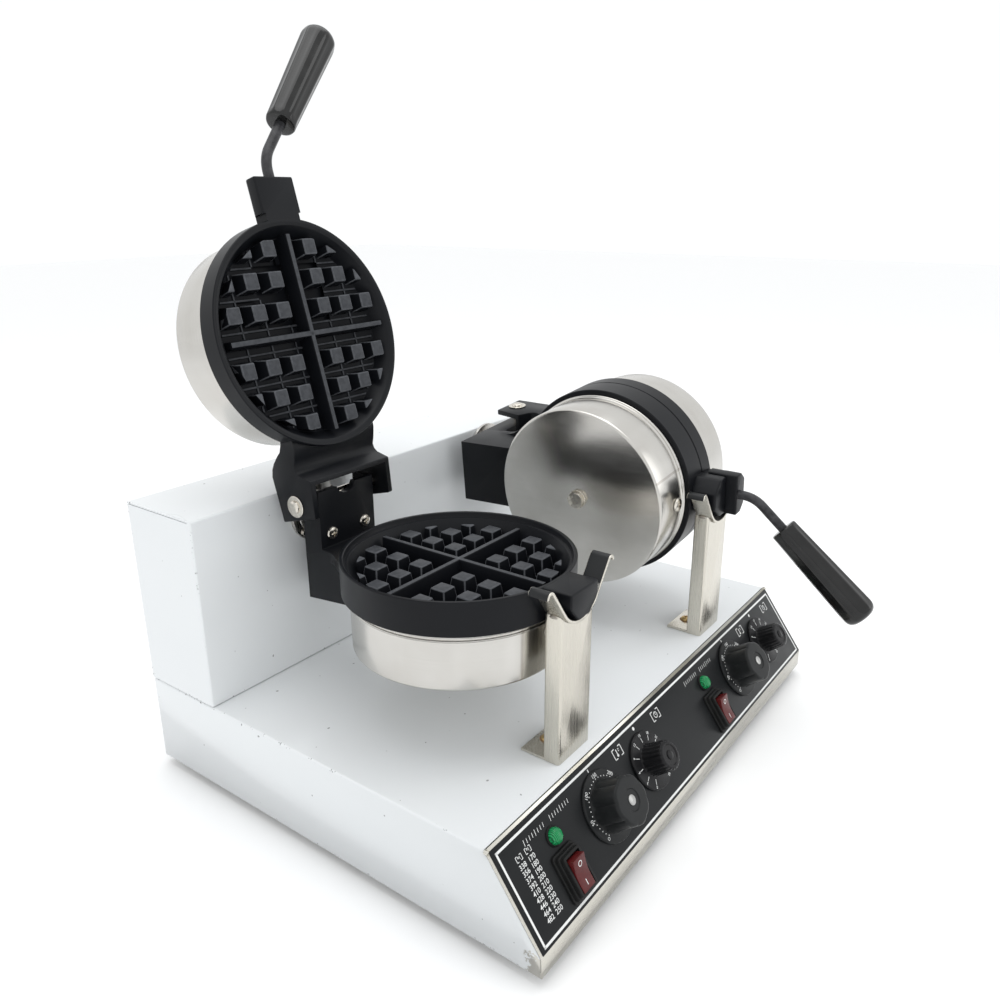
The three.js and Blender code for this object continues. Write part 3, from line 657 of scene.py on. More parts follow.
def ring(x, s, radius, width, lift=PANEL["face"], steps=32):
    shape = lathe([(radius - width / 2, 0), (radius + width / 2, 0), (radius + width / 2, INK),
                   (radius - width / 2, INK)], steps, closed=True)
    bmesh.ops.translate(shape, vec=(x, s, lift), verts=shape.verts)
    return shape


def figures(text, size, x, s, turned=0.0, lift=PANEL["face"]):
    """Printed figures, centred on a point, turned about the panel's normal."""
    line = bpy.data.curves.new("figures", "FONT")
    line.body = text
    line.size = size
    line.align_x = "CENTER"
    line.align_y = "CENTER"
    line.extrude = INK / 2
    line.offset = size * 0.004
    line.resolution_u = 3
    carrier = bpy.data.objects.new("figures", line)
    bpy.context.scene.collection.objects.link(carrier)
    flat = bpy.data.meshes.new_from_object(carrier.evaluated_get(bpy.context.evaluated_depsgraph_get()))
    bpy.data.objects.remove(carrier)
    shape = bmesh.new()
    shape.from_mesh(flat)
    bmesh.ops.remove_doubles(shape, verts=shape.verts, dist=1e-6)
    bmesh.ops.rotate(shape, cent=(0, 0, 0), verts=shape.verts, matrix=Matrix.Rotation(turned, 3, "Z"))
    bmesh.ops.translate(shape, vec=(x, s, lift + INK / 2), verts=shape.verts)
    return shape


def bracket_frame(x, s, width, height, weight):
    """Two square brackets that face each other, the frame of each dial's sign."""
    strokes = []
    for way in (-1, 1):
        edge = x + way * width / 2
        inner = edge - way * width * 0.24
        strokes.append(stroke(edge, s - height / 2, edge, s + height / 2, weight))
        strokes += [stroke(edge, end, inner, end, weight) for end in (s - height / 2, s + height / 2)]
    return strokes


BORDER = {"x": 0.2685, "low": 0.0045, "high": 0.0782, "line": 0.0019}
marks = [stroke(-BORDER["x"], s, BORDER["x"], s, BORDER["line"]) for s in (BORDER["low"], BORDER["high"])]
marks += [stroke(x, BORDER["low"], x, BORDER["high"], BORDER["line"]) for x in (-BORDER["x"], BORDER["x"])]
panel_x = {side: joints[f"{side}_roll"]["pos_m"][0] for side in SIDES}
SIGN = {"width": 0.0135, "height": 0.0085, "line": 0.0008, "thin": 0.0005}
TICKS = {"start": -0.103, "pitch": 0.0036, "gap": 0.006, "s": 0.0695}
for centre in panel_x.values():
    heat_x, heat_s = centre + 0.038, 0.0685
    marks += bracket_frame(heat_x, heat_s, SIGN["width"], SIGN["height"], SIGN["line"])
    marks += [stroke(heat_x - 0.0012, heat_s - 0.002, heat_x - 0.0012, heat_s + 0.0026, 0.001),
              dot(heat_x - 0.0012, heat_s - 0.0022, 0.0013),
              stroke(heat_x + 0.0014, heat_s + 0.0022, heat_x + 0.003, heat_s + 0.0022, SIGN["thin"]),
              stroke(heat_x + 0.0014, heat_s + 0.0006, heat_x + 0.0026, heat_s + 0.0006, SIGN["thin"])]
    time_x, time_s = centre + 0.1096, 0.0686
    marks += bracket_frame(time_x, time_s, SIGN["width"], SIGN["height"], SIGN["line"])
    marks += [ring(time_x, time_s, 0.0026, 0.0006),
              stroke(time_x, time_s, time_x, time_s + 0.0018, SIGN["thin"]),
              stroke(time_x, time_s, time_x + 0.0012, time_s, SIGN["thin"])]
    marks.append(dot(centre + 0.0715, 0.0737, 0.0016))
    marks.append(stroke(centre - 0.006, 0.0742, centre - 0.006, 0.0756, 0.0011))
    for tick in range(16):
        tick_x = centre + TICKS["start"] + tick * TICKS["pitch"] + (TICKS["gap"] if tick > 7 else 0)
        tall = 0.0042 if tick % 4 == 0 else 0.003
        marks.append(stroke(tick_x, TICKS["s"] - tall / 2, tick_x + 0.0006, TICKS["s"] + tall / 2,
                            SIGN["thin"]))

SCALE = {"x": -0.2515, "column": 0.0112, "top": 0.0578, "row": 0.0053, "figure": 0.0056}
for line, celsius in enumerate(range(170, 251, 10)):
    row = SCALE["top"] - line * SCALE["row"]
    marks.append(figures(str(round(celsius * 9 / 5 + 32)), SCALE["figure"], SCALE["x"], row))
    marks.append(figures(str(celsius), SCALE["figure"], SCALE["x"] + SCALE["column"], row))
for column_x in (SCALE["x"], SCALE["x"] + SCALE["column"]):
    marks += bracket_frame(column_x, 0.0642, 0.0066, 0.0042, 0.0005)
    marks.append(ring(column_x - 0.0008, 0.065, 0.0006, 0.0004, steps=12))
    marks.append(stroke(column_x + 0.0008, 0.0634, column_x + 0.0008, 0.0654, 0.0004))
fitted(meshed(gathered(marks), ink), "panel_print", "base", "panel_ink", place=panel_place)

# ---- baking plates -------------------------------------------------------------------------------
# Two aluminium castings a head, with a satin black non-stick coat. A cross of ribs cuts the waffle
# into quarters and square studs make its pockets. A lighter grey on the tops of studs and ribs is
# painted light, and on their small bevel faces a painted highlight.
PLATE = {"rim": 0.102, "wall": 0.0985, "step": 0.096, "floor": 0.088}
HEAD = {}
LID = {}
for side in SIDES:
    centre = Vector(joints[f"{side}_roll"]["pos_m"])
    hinge = joints[f"{side}_lid_hinge"]
    rolled = math.atan2(hinge["axis"][2], -hinge["axis"][0])
    opened = math.radians(-hinge["range_deg"][0])
    HEAD[side] = Matrix.Translation(centre) @ Matrix.Rotation(rolled, 4, "Y")
    pin_place = HEAD[side].inverted() @ Vector(hinge["pos_m"])
    pin_place.x = 0
    LID[side] = (HEAD[side] @ Matrix.Translation(pin_place) @ Matrix.Rotation(-opened, 4, "X")
                 @ Matrix.Translation(-pin_place))

nonstick, nonstick_shader = finish("nonstick_coat", (0.006, 0.007, 0.009), 0.36, Specular_IOR_Level=0.15)
nonstick_spot = own_place(nonstick)
nonstick_cloud = noise(nonstick, nonstick_spot, 14.0, 2.0)
nonstick_grain = noise(nonstick, nonstick_spot, 1600.0, 2.0)
# The lighter grey on the stud and rib tops is painted light, and on their small bevel faces a painted
# highlight, broken up by noise.
nonstick_painted_light = node(nonstick, "Attribute", attribute_name="painted_light").outputs["Fac"]
nonstick_painted_light_patches = product(nonstick, nonstick_painted_light,
                       ramped(nonstick, noise(nonstick, nonstick_spot, 260.0, 3.0), 0.35, 0.62, 0.72, 1.0))
nonstick_base = mixed(nonstick, nonstick_cloud, (0.0045, 0.005, 0.0062), (0.0085, 0.0095, 0.012))
wire(nonstick, nonstick_shader.inputs["Base Color"],
     mixed(nonstick, nonstick_painted_light_patches, nonstick_base, (0.12, 0.126, 0.138)))
wire(nonstick, nonstick_shader.inputs["Roughness"], ramped(nonstick, nonstick_cloud, 0.3, 0.7, 0.3, 0.44))
bumped(nonstick, nonstick_shader, nonstick_grain, 0.000005)
# Less specular on the dish floor inside the rim than on the rim: painted shade inside the dish.
nonstick_flat = node(nonstick, "VectorMath", {0: nonstick_spot, 1: (1, 1, 0)},
                     operation="MULTIPLY").outputs[0]
nonstick_out = node(nonstick, "VectorMath", {0: nonstick_flat}, operation="LENGTH").outputs["Value"]
wire(nonstick, nonstick_shader.inputs["Specular IOR Level"],
     ramped(nonstick, nonstick_out, 0.087, 0.094, 0.07, 0.17))


def frustum(size_x, size_y, grow, top, root):
    """A block with sloped sides: its small end at the height top, its large end at root."""
    shape = bmesh.new()
    bmesh.ops.create_cube(shape, size=1)
    for vert in shape.verts:
        spread = 0 if vert.co.z > 0 else grow
        vert.co = (math.copysign((size_x + spread) / 2, vert.co.x),
                   math.copysign((size_y + spread) / 2, vert.co.y), top if vert.co.z > 0 else root)
    bmesh.ops.recalc_face_normals(shape, faces=shape.faces)
    return shape


def moved(shape, x=0.0, y=0.0, z=0.0):
    bmesh.ops.translate(shape, vec=(x, y, z), verts=shape.verts)
    return shape


STUD = {"first": 0.0235, "pitch": 0.0267, "size": 0.014, "spread": 0.005}
RIB = {"width": 0.005, "spread": 0.004}
EDGE = 0.001


def waffle_pattern(floor, rib_top, stud_top):
    """Ribs and studs that stand up to the mating plane, drawn with the plane above the floor."""
    root = floor - 0.002
    shapes = []
    for turned in (0, 1):
        size = (RIB["width"], 2 * PLATE["step"])[::1 if turned else -1]
        shapes.append(soften(frustum(*size, RIB["spread"], rib_top, root), EDGE, 3, 30,
                             lambda edge: middle(edge).z > root + 0.001))
    for row in range(4):
        for column in range(4):
            if row + column > 3 or (row == 3 and column == 0) or (column == 3 and row == 0):
                continue
            for mirror_x in (-1, 1):
                for mirror_y in (-1, 1):
                    stud = soften(frustum(STUD["size"], STUD["size"], STUD["spread"], stud_top, root),
                                  EDGE, 3, 30, lambda edge: middle(edge).z > root + 0.001)
                    shapes.append(moved(stud, mirror_x * (STUD["first"] + STUD["pitch"] * column),
                                        mirror_y * (STUD["first"] + STUD["pitch"] * row)))
    for line in (-0.06355, -0.03685, -0.01015, 0.01015, 0.03685, 0.06355):
        for turned in (0, 1):
            size = (0.0015, 0.17)[::1 if turned else -1]
            ridge = frustum(*size, 0.003, floor + 0.001, root)
            shapes.append(moved(ridge, line if turned else 0, 0 if turned else line))
    reach = lathe([(0, root - 0.001), (0.0868, root - 0.001), (0.0868, floor + 0.003),
                   (0.0885, stud_top + 0.003), (0, stud_top + 0.003)], 96)
    kept = [combined(shape, [reach.copy()], "INTERSECT") for shape in shapes]
    reach.free()
    return kept


def mirrored_outline(points):
    return points + [(-across, along) for across, along in reversed(points)]


def x_bar(radius, half, y, z, steps=48):
    shape = bmesh.new()
    bmesh.ops.create_cone(shape, cap_ends=True, segments=steps, radius1=radius, radius2=radius,
                          depth=2 * half, matrix=Matrix.Translation((0, y, z)) @ Matrix.Rotation(
                              math.pi / 2, 4, "Y"))
    return shape


def y_bar(radius, start, end, x=0.0, z=0.0, steps=48):
    shape = bmesh.new()
    bmesh.ops.create_cone(shape, cap_ends=True, segments=steps, radius1=radius, radius2=radius,
                          depth=end - start, matrix=Matrix.Translation((x, (start + end) / 2, z))
                          @ Matrix.Rotation(math.pi / 2, 4, "X"))
    return shape


def worn_mesh(shape, top, floor, *materials, smooth=35):
    """A plate's mesh, with painted light on the tops that stand over its floor and a painted highlight on
    their small bevel faces.
    """
    mesh = meshed(shape, *materials, smooth=smooth)
    painted_light = mesh.attributes.new("painted_light", "FLOAT", "FACE")
    for item, face in zip(painted_light.data, mesh.polygons):
        lifted = (face.center.z - floor) / (top - floor)
        if math.hypot(face.center.x, face.center.y) > PLATE["floor"] + 0.004 or lifted < 0.02:
            continue
        # Small bevel faces near the top: painted highlight.
        if face.area < 2.5e-5 and lifted > 0.1:
            item.value = 0.8
        # Flat faces towards the mating plane: painted light.
        elif abs(face.normal.z) > 0.95:
            item.value = 0.5
    return mesh


def flipped(shape):
    """A shape mirrored top to bottom, as the lid's parts are drawn."""
    bmesh.ops.scale(shape, vec=(1, 1, -1), verts=shape.verts)
    bmesh.ops.reverse_faces(shape, faces=shape.faces)
    return shape


PIN = {"y": pin_place.y, "z": pin_place.z, "radius": 0.005, "hole": 0.00535, "half": 0.0503}
HUB = {"lower_front": -0.1265, "upper_front": -0.138, "back": -0.0985}

lower_dish = lathe([
    (0, -0.0303), (0.1012, -0.0303), (PLATE["rim"], -0.0295), (PLATE["rim"], -0.0012), (0.1013, -0.0004),
    (0.0992, -0.0003), (PLATE["wall"], -0.0009), (0.0976, -0.0046), (0.0972, -0.0052), (0.0954, -0.0054),
    (0.0948, -0.006), (0.0888, -0.0226), (0.0874, -0.0238), (0.0862, -0.024), (0, -0.024),
], 128)
bracket_side = [(0.08, -0.02), (0.08, -0.066), (0.157, -0.074), (0.157, 0.035), (0.1346, 0.035),
                (0.1346, -0.02)]
bracket = prism(bracket_side, "X", -0.07, 0.07)
bracket_plan = prism(mirrored_outline([
    (0.035, 0.157), (0.035, 0.126), (0.0362, 0.12), (0.0388, 0.114), (0.0422, 0.1085), (0.0456, 0.103),
    (0.0492, 0.096), (0.052, 0.088)]), "Z", -0.0303, 0.04)
bracket_foot = slab((-0.035, 0.079, -0.08), (0.035, 0.157, -0.0298))
bracket_plan = combined(bracket_plan, [bracket_foot], "UNION")
bracket = combined(bracket, [bracket_plan], "INTERSECT")
soften(bracket, 0.0022, 3, 50, lambda edge: middle(edge).y > 0.1)
lower_room = prism([(0.079, -0.061), (0.158, -0.069), (0.158, -0.025), (0.079, -0.025)], "X", -0.03, 0.03)
upper_room = slab((-0.03, 0.1406, -0.02), (0.03, 0.158, 0.036))
notch = y_bar(0.012, 0.1336, 0.1416, 0, 0.039)
BRACKET_SCREW = {"x": 0.021, "face": 0.1346, "z": -0.0074}
screw_ways = [y_bar(0.0026, 0.1336, 0.1416, way * BRACKET_SCREW["x"], BRACKET_SCREW["z"], 16)
              for way in (-1, 1)]
pin_way = x_bar(PIN["hole"], 0.036, PIN["y"], PIN["z"], 32)
drum_room = lathe([(0, -0.0312), (0.098, -0.0312), (0.098, -0.09), (0, -0.09)], 96)
dish_room = lathe([(0, 0.05), (0.0972, 0.05), (0.0972, -0.0315), (0, -0.0315)], 96)
bracket = combined(bracket, [lower_room, upper_room, notch, pin_way, *screw_ways, drum_room, dish_room],
                   "DIFFERENCE")
lower_hub = prism(mirrored_outline([(0.02, -0.0005), (0.02, -0.013), (0.008, -0.026)])[::-1], "Y",
                  HUB["lower_front"], HUB["back"])
soften(lower_hub, 0.0016, 3, 30, lambda edge: middle(edge).y < -0.105)
LOWER_FLOOR, UPPER_FLOOR = -0.024, 0.016
lower_pattern = waffle_pattern(LOWER_FLOOR, -0.007, -0.009)
lower_plate = combined(lower_dish, [bracket, lower_hub, *lower_pattern], "UNION")
lower_mesh = worn_mesh(lower_plate, -0.008, LOWER_FLOOR, nonstick)

upper_dish = lathe([
    (0, 0.0203), (0.1008, 0.0203), (PLATE["rim"], 0.0191), (PLATE["rim"], 0.0012), (0.1013, 0.0004),
    (0.0992, 0.0003), (PLATE["wall"], 0.0007), (0.0964, 0.0014), (0.0958, 0.0019), (0.0889, 0.0146),
    (0.0877, 0.0158), (0.0862, 0.016), (0, 0.016),
], 128)
arm = prism([(0.08, 0.006), (0.097, 0.006), (0.106, 0.0094), (0.112, 0.0125), (0.1165, 0.0118),
             (0.12, 0.009), (0.127, -0.004), (0.161, 0.002), (0.161, 0.047), (0.118, 0.047),
             (0.111, 0.0442), (0.106, 0.04), (0.1005, 0.0332), (0.097, 0.027), (0.09, 0.0228),
             (0.08, 0.02)], "X", -0.05, 0.05)
soften(arm, 0.0016, 2, 45, lambda edge: middle(edge).y > 0.1)
arm_pocket = prism([(0.131, -0.02), (0.131, -0.003), (0.129, 0.0055), (0.125, 0.012), (0.1215, 0.0158),
                    (0.117, 0.018), (0.117, 0.07), (0.175, 0.07), (0.175, -0.02)], "X", -0.0445, 0.0445)
arm_pin_way = x_bar(PIN["hole"], 0.052, PIN["y"], PIN["z"], 32)
upper_drum_room = lathe([(0, 0.0206), (0.098, 0.0206), (0.098, 0.09), (0, 0.09)], 96)
upper_dish_room = lathe([(0, -0.01), (0.0962, -0.01), (0.0962, 0.0204), (0, 0.0204)], 96)
arm = combined(arm, [arm_pocket, arm_pin_way, upper_drum_room, upper_dish_room], "DIFFERENCE")
upper_hub = prism(mirrored_outline([(0.0215, 0.0005), (0.0215, 0.012), (0.014, 0.0203)]), "Y",
                  HUB["upper_front"], HUB["back"])
soften(upper_hub, 0.0016, 3, 30, lambda edge: middle(edge).y < -0.105)
neck_cuts = [slab((0.0183, -0.1066, -0.001), (0.023, -0.098, 0.022)),
             slab((-0.023, -0.1066, -0.001), (-0.0183, -0.098, 0.022))]
rod_way = y_bar(0.005, -0.16, -0.1133, 0, 0.006, 32)
upper_hub = combined(upper_hub, [rod_way, *neck_cuts], "DIFFERENCE")
upper_pattern = [flipped(shape) for shape in waffle_pattern(-UPPER_FLOOR, -0.001, -0.0022)]
upper_plate = combined(upper_dish, [arm, upper_hub, *upper_pattern], "UNION")
upper_mesh = worn_mesh(upper_plate, 0.0016, UPPER_FLOOR, nonstick)

for side in SIDES:
    fitted(lower_mesh, f"{side}_lower_plate_cast", f"{side}_head", "nonstick_casting",
           f"{side}_lower_plate", place=HEAD[side])
    fitted(upper_mesh, f"{side}_upper_plate_cast", f"{side}_lid", "nonstick_casting",
           f"{side}_upper_plate", place=LID[side])

# ---- drums and their bolts -----------------------------------------------------------------------
# Each heating element sits in a can drawn from stainless sheet, polished round its wall and brushed
# on its end, with a rolled lip against the casting. One bolt up the middle holds can to casting.
def drum_steel(name, seam):
    material, shader = finish(name, (0.6, 0.575, 0.535), 0.26, 1.0)
    place = own_place(material)
    axes = node(material, "SeparateXYZ", {"Vector": place}).outputs
    far = node(material, "VectorMath", {0: place, 1: (1, 1, 0)}, operation="MULTIPLY").outputs[0]
    out = node(material, "VectorMath", {0: far}, operation="LENGTH").outputs["Value"]
    turn = node(material, "Math", {0: axes[1], 1: axes[0]}, operation="ARCTAN2").outputs[0]
    on_wall = ramped(material, out, 0.0935, 0.0945, 0.0, 1.0)
    round_can = node(material, "Math", {0: turn, 1: 1.6}, operation="MULTIPLY").outputs[0]
    up_can = node(material, "Math", {0: axes[2], 1: 1400.0}, operation="MULTIPLY").outputs[0]
    level = node(material, "CombineXYZ", {"X": round_can, "Y": up_can}).outputs[0]
    rings = noise(material, level, 1.0, 3.0)
    straight = noise(material, stretched(material, place, (1600.0, 22.0, 22.0)), 1.0, 3.0)
    grain = node(material, "Mix", {0: on_wall, 2: straight, 3: rings}).outputs[0]
    cloud = noise(material, place, 18.0, 3.0)
    # Lighter bands along the can's axis are painted highlight bands, standing in for reflections.
    painted_highlight_bands = noise(material, stretched(material, place, (30.0, 30.0, 2.0)), 1.0, 2.0)
    tint = mixed(material, ramped(material, grain, 0.25, 0.75, 0.0, 1.0),
                 (0.57, 0.555, 0.525), (0.62, 0.605, 0.575))
    tint = mixed(material, ramped(material, cloud, 0.4, 0.72, 0.0, 0.3), tint, (0.44, 0.41, 0.37))
    tint = mixed(material, ramped(material, painted_highlight_bands, 0.5, 0.7, 0.0, 0.25), tint, (0.78, 0.76, 0.73))
    if seam:
        line = node(material, "Math", {0: turn, 1: seam}, operation="SUBTRACT").outputs[0]
        line = node(material, "Math", {0: line}, operation="ABSOLUTE").outputs[0]
        weld = product(material, ramped(material, line, 0.012, 0.016, 1.0, 0.0), on_wall)
        tint = mixed(material, ramped(material, weld, 0.0, 1.0, 0.0, 0.5), tint, (0.36, 0.33, 0.3))
    wire(material, shader.inputs["Base Color"], tint)
    rough = node(material, "Mix", {0: on_wall, 2: 0.19, 3: 0.2}).outputs[0]
    rough = node(material, "Math", {0: rough, 1: ramped(material, grain, 0.3, 0.7, 0.0, 0.05)},
                 operation="ADD").outputs[0]
    wire(material, shader.inputs["Roughness"], rough)
    bumped(material, shader, grain, 0.000004)
    return material


lower_steel = drum_steel("lower_drum_stainless", -1.92)
upper_steel = drum_steel("upper_drum_stainless", 0.0)
LOWER_END, UPPER_END = -0.0814, 0.069
CAN_RADIUS = 0.0949


def can(mouth, end, lipped):
    """A drum's section, drawn downwards from its mouth to its end."""
    lip = [(CAN_RADIUS, mouth)]
    if lipped:
        lip = [(CAN_RADIUS, mouth - 0.0074), (0.0961, mouth - 0.007), (0.0966, mouth - 0.0062),
               (0.0961, mouth - 0.0053), (0.0952, mouth - 0.0048), (0.0952, mouth - 0.0036),
               (0.0964, mouth - 0.0032), (0.097, mouth - 0.0026), (0.097, mouth - 0.0004), (0.0966, mouth)]
    return lathe([
        (0.0054, end), (0.0922, end), (0.0936, end + 0.0004), (0.0945, end + 0.0012),
        (CAN_RADIUS, end + 0.0026), (CAN_RADIUS, (mouth + end) / 2), *lip, (0.0939, mouth),
        (0.0939, end + 0.003), (0.0932, end + 0.0014), (0.0918, end + 0.001), (0.0054, end + 0.001),
    ], 160, closed=True)


DRUM_SCREW_Z = -0.047
drum_screw_way = y_bar(0.0033, -0.098, -0.09, 0, DRUM_SCREW_Z, 24)
lower_can = combined(can(-0.0306, LOWER_END, True), [drum_screw_way], "DIFFERENCE")
upper_can = flipped(can(-0.0206, -UPPER_END, False))
lower_can_mesh = meshed(lower_can, lower_steel, smooth=50)
upper_can_mesh = meshed(upper_can, upper_steel, smooth=50)


BOLT_FACE = 0.0064


def hex_bolt(start, end):
    """A washer and a chamfered hexagon head under a drum's end, and the bolt's shank above."""
    washer = lathe([(0.0055, end - 0.0003), (0.0094, end - 0.0003), (0.0097, end - 0.0006),
                    (0.0097, end - 0.0011), (0.0094, end - 0.0014), (0.0055, end - 0.0014)], 40, closed=True)
    head = bmesh.new()
    bmesh.ops.create_cone(head, cap_ends=True, segments=6, radius1=0.0096, radius2=0.0096, depth=0.0046,
                          matrix=Matrix.Translation((0, 0, end - 0.0039)))
    crown = lathe([(0, end - BOLT_FACE), (0.0078, end - BOLT_FACE), (0.0098, end - 0.0053),
                   (0.0098, end - 0.0016), (0, end - 0.0016)], 48)
    head = combined(head, [crown], "INTERSECT")
    recess = lathe([(0, end - 0.008), (0.0044, end - 0.008), (0.0038, end - 0.0052), (0, end - 0.0052)], 24)
    head = combined(head, [recess], "DIFFERENCE")
    shank = lathe([(0, end - 0.002), (0.005, end - 0.002), (0.005, start), (0, start)], 24)
    return gathered([washer, head, shank])


steel_bolt = plated("bolt_plate", (0.72, 0.68, 0.6), 0.2)
# Darker steel for the faces inside the hex socket: painted shade in the recess.
bolt_recess_painted_shade = plated("bolt_recess_painted_shade", (0.46, 0.44, 0.4), 0.3)
lower_bolt_mesh = meshed(hex_bolt(-0.031, LOWER_END), steel_bolt, bolt_recess_painted_shade, smooth=30)
upper_bolt_mesh = meshed(flipped(hex_bolt(-0.021, -UPPER_END)), steel_bolt, bolt_recess_painted_shade, smooth=30)
# Faces inside each bolt's hex socket take the darker steel, painted shade.
for bolt_mesh, face_height in (
        (lower_bolt_mesh, LOWER_END - BOLT_FACE), (upper_bolt_mesh, UPPER_END + BOLT_FACE)):
    for face in bolt_mesh.polygons:
        off_axis = math.hypot(face.center.x, face.center.y)
        if off_axis < 0.0043 and abs(face.center.z - face_height) < 0.0019:
            face.material_index = 1
drum_screw_mesh = meshed(pan_screw(0.0073, 0.0033, 0.004, 0.0016), nickel)
drum_screw_spot = (Matrix.Translation((0, -0.0952, DRUM_SCREW_Z))
                   @ Matrix.Rotation(math.pi / 2, 4, "X"))
for side in SIDES:
    fitted(lower_can_mesh, f"{side}_lower_drum_drawn", f"{side}_head", "drum_stainless",
           f"{side}_lower_drum", place=HEAD[side])
    fitted(upper_can_mesh, f"{side}_upper_drum_drawn", f"{side}_lid", "drum_stainless",
           f"{side}_upper_drum", place=LID[side])
    fitted(lower_bolt_mesh, f"{side}_lower_bolt_set", f"{side}_head", "plated_steel",
           f"{side}_lower_bolt", place=HEAD[side])
    fitted(upper_bolt_mesh, f"{side}_upper_bolt_set", f"{side}_lid", "plated_steel",
           f"{side}_upper_bolt", place=LID[side])
    fitted(drum_screw_mesh, f"{side}_drum_screw_set", f"{side}_head", "plated_steel",
           f"{side}_drum_screw", place=HEAD[side] @ drum_screw_spot)

# ---- roll shafts, bearings and hinge pins --------------------------------------------------------
# A hollow steel shaft with a square flange screws to the back of the lower casting and turns in a
# flanged bearing bolted to the housing. The lid swings on a riveted pin with a washer at each end.
bare_steel = brushed("turned_steel", (0.62, 0.6, 0.57), 0.28, 1)
shaft = soften(slab((-0.028, 0.1409, -0.018), (0.028, 0.1465, 0.015)), 0.0012, 2)
shaft = combined(shaft, [y_bar(0.014, 0.1455, 0.232)], "UNION")
shaft = combined(shaft, [y_bar(0.009, 0.1399, 0.233)], "DIFFERENCE")
shaft_mesh = meshed(shaft, bare_steel)

BEARING_FACE = 0.1817
BOLT_CIRCLE = 0.0255
bearing = lathe([
    (0.0144, -0.004), (0.0175, -0.0062), (0.0205, -0.0058), (0.0225, -0.004), (0.0288, -0.004),
    (0.03, -0.0032), (0.03, 0), (0.018, 0), (0.018, 0.0214), (0.0144, 0.0214)], 96, closed=True)
bearing_turn = Matrix.Translation((0, BEARING_FACE, 0)) @ Matrix.Rotation(-math.pi / 2, 4, "X")
bearing_mesh = meshed(bearing, bare_steel)
flange_bolt = bmesh.new()
bmesh.ops.create_cone(flange_bolt, cap_ends=True, segments=6, radius1=0.0034, radius2=0.0034, depth=0.0026,
                      matrix=Matrix.Translation((0, 0, 0.0011)))
soften(flange_bolt, 0.0003, 2)
flange_bolt_mesh = meshed(flange_bolt, nickel)

rivet = x_bar(PIN["radius"], PIN["half"], PIN["y"], PIN["z"])
rivet_ends = []
for way in (-1, 1):
    for profile in ([(0.0052, 0), (0.0098, 0), (0.0102, 0.0004), (0.0102, 0.0008), (0.0098, 0.0012),
                     (0.0052, 0.0012)],
                    [(0, -0.0004), (0.0062, -0.0004), (0.0062, 0.0017), (0.0058, 0.0027), (0.0046, 0.0034),
                     (0.002, 0.0037), (0, 0.0037)]):
        end = lathe(profile, 40, closed=profile[0][0] > 0)
        end_place = (Matrix.Translation((way * PIN["half"], PIN["y"], PIN["z"]))
                     @ Matrix.Rotation(way * math.pi / 2, 4, "Y"))
        bmesh.ops.transform(end, verts=end.verts, matrix=end_place)
        rivet_ends.append(end)
rivet_mesh = meshed(gathered([rivet, *rivet_ends]), nickel)

bracket_screw_mesh = meshed(pan_screw(0.0061, 0.0031, 0.012, 0.0014), nickel)
sleeve_grey = moulded("wire_sleeve", (0.45, 0.45, 0.43), 0.5)
sleeve = lathe([(0.0028, 0), (0.004, 0), (0.0041, 0.003), (0.0039, 0.006), (0.0041, 0.009), (0.0039, 0.012),
                (0.004, 0.016), (0.0028, 0.016)], 32, closed=True)
sleeve_mesh = meshed(sleeve, sleeve_grey, smooth=50)
sleeve_spot = Matrix.Translation((-0.0152, 0.1452, 0.0292)) @ Matrix.Rotation(math.radians(4), 4, "Y")
for side in SIDES:
    stand = Matrix.Translation(HEAD[side].translation)
    fitted(shaft_mesh, f"{side}_roll_shaft_turned", f"{side}_head", "plated_steel",
           f"{side}_roll_shaft", place=HEAD[side])
    fitted(rivet_mesh, f"{side}_hinge_pin_riveted", f"{side}_head", "plated_steel",
           f"{side}_hinge_pin", place=HEAD[side])
    fitted(sleeve_mesh, f"{side}_wire_sleeve", f"{side}_head", "rubber", place=HEAD[side] @ sleeve_spot)
    for number, way in enumerate((-1, 1), 1):
        spot = (Matrix.Translation((way * BRACKET_SCREW["x"], BRACKET_SCREW["face"], BRACKET_SCREW["z"]))
                @ Matrix.Rotation(math.pi / 2, 4, "X"))
        fitted(bracket_screw_mesh, f"{side}_bracket_screw_{number}", f"{side}_head", "plated_steel",
               place=HEAD[side] @ spot)
    fitted(bearing_mesh, f"{side}_shaft_bearing_turned", "base", "plated_steel",
           f"{side}_shaft_bearing", place=stand @ bearing_turn)
    for number in range(4):
        spot = (Matrix.Translation((0, BEARING_FACE - 0.004, 0))
                @ Matrix.Rotation(math.pi / 4 + number * math.pi / 2, 4, "Y")
                @ Matrix.Translation((BOLT_CIRCLE, 0, 0)) @ Matrix.Rotation(math.pi / 2, 4, "X"))
        fitted(flange_bolt_mesh, f"{side}_flange_bolt_{number + 1}", "base", "plated_steel",
               place=stand @ spot)

# ---- handles -------------------------------------------------------------------------------------
# A black painted steel rod screws into the lid's hub, bends out to the right, and carries a glossy
# moulded grip with shallow flutes that widens to a rounded end.
ROD = {"radius": 0.0047, "z": 0.006, "start": -0.1136, "bend": -0.1546, "tangent": 0.012}
GRIP = {"start": 0.0413, "length": 0.115, "near": 0.0137, "far": 0.0167}
crank_angle = math.radians(41.9)
crank = Vector((math.sin(crank_angle), -math.cos(crank_angle), 0))
elbow = Vector((0, ROD["bend"], ROD["z"]))


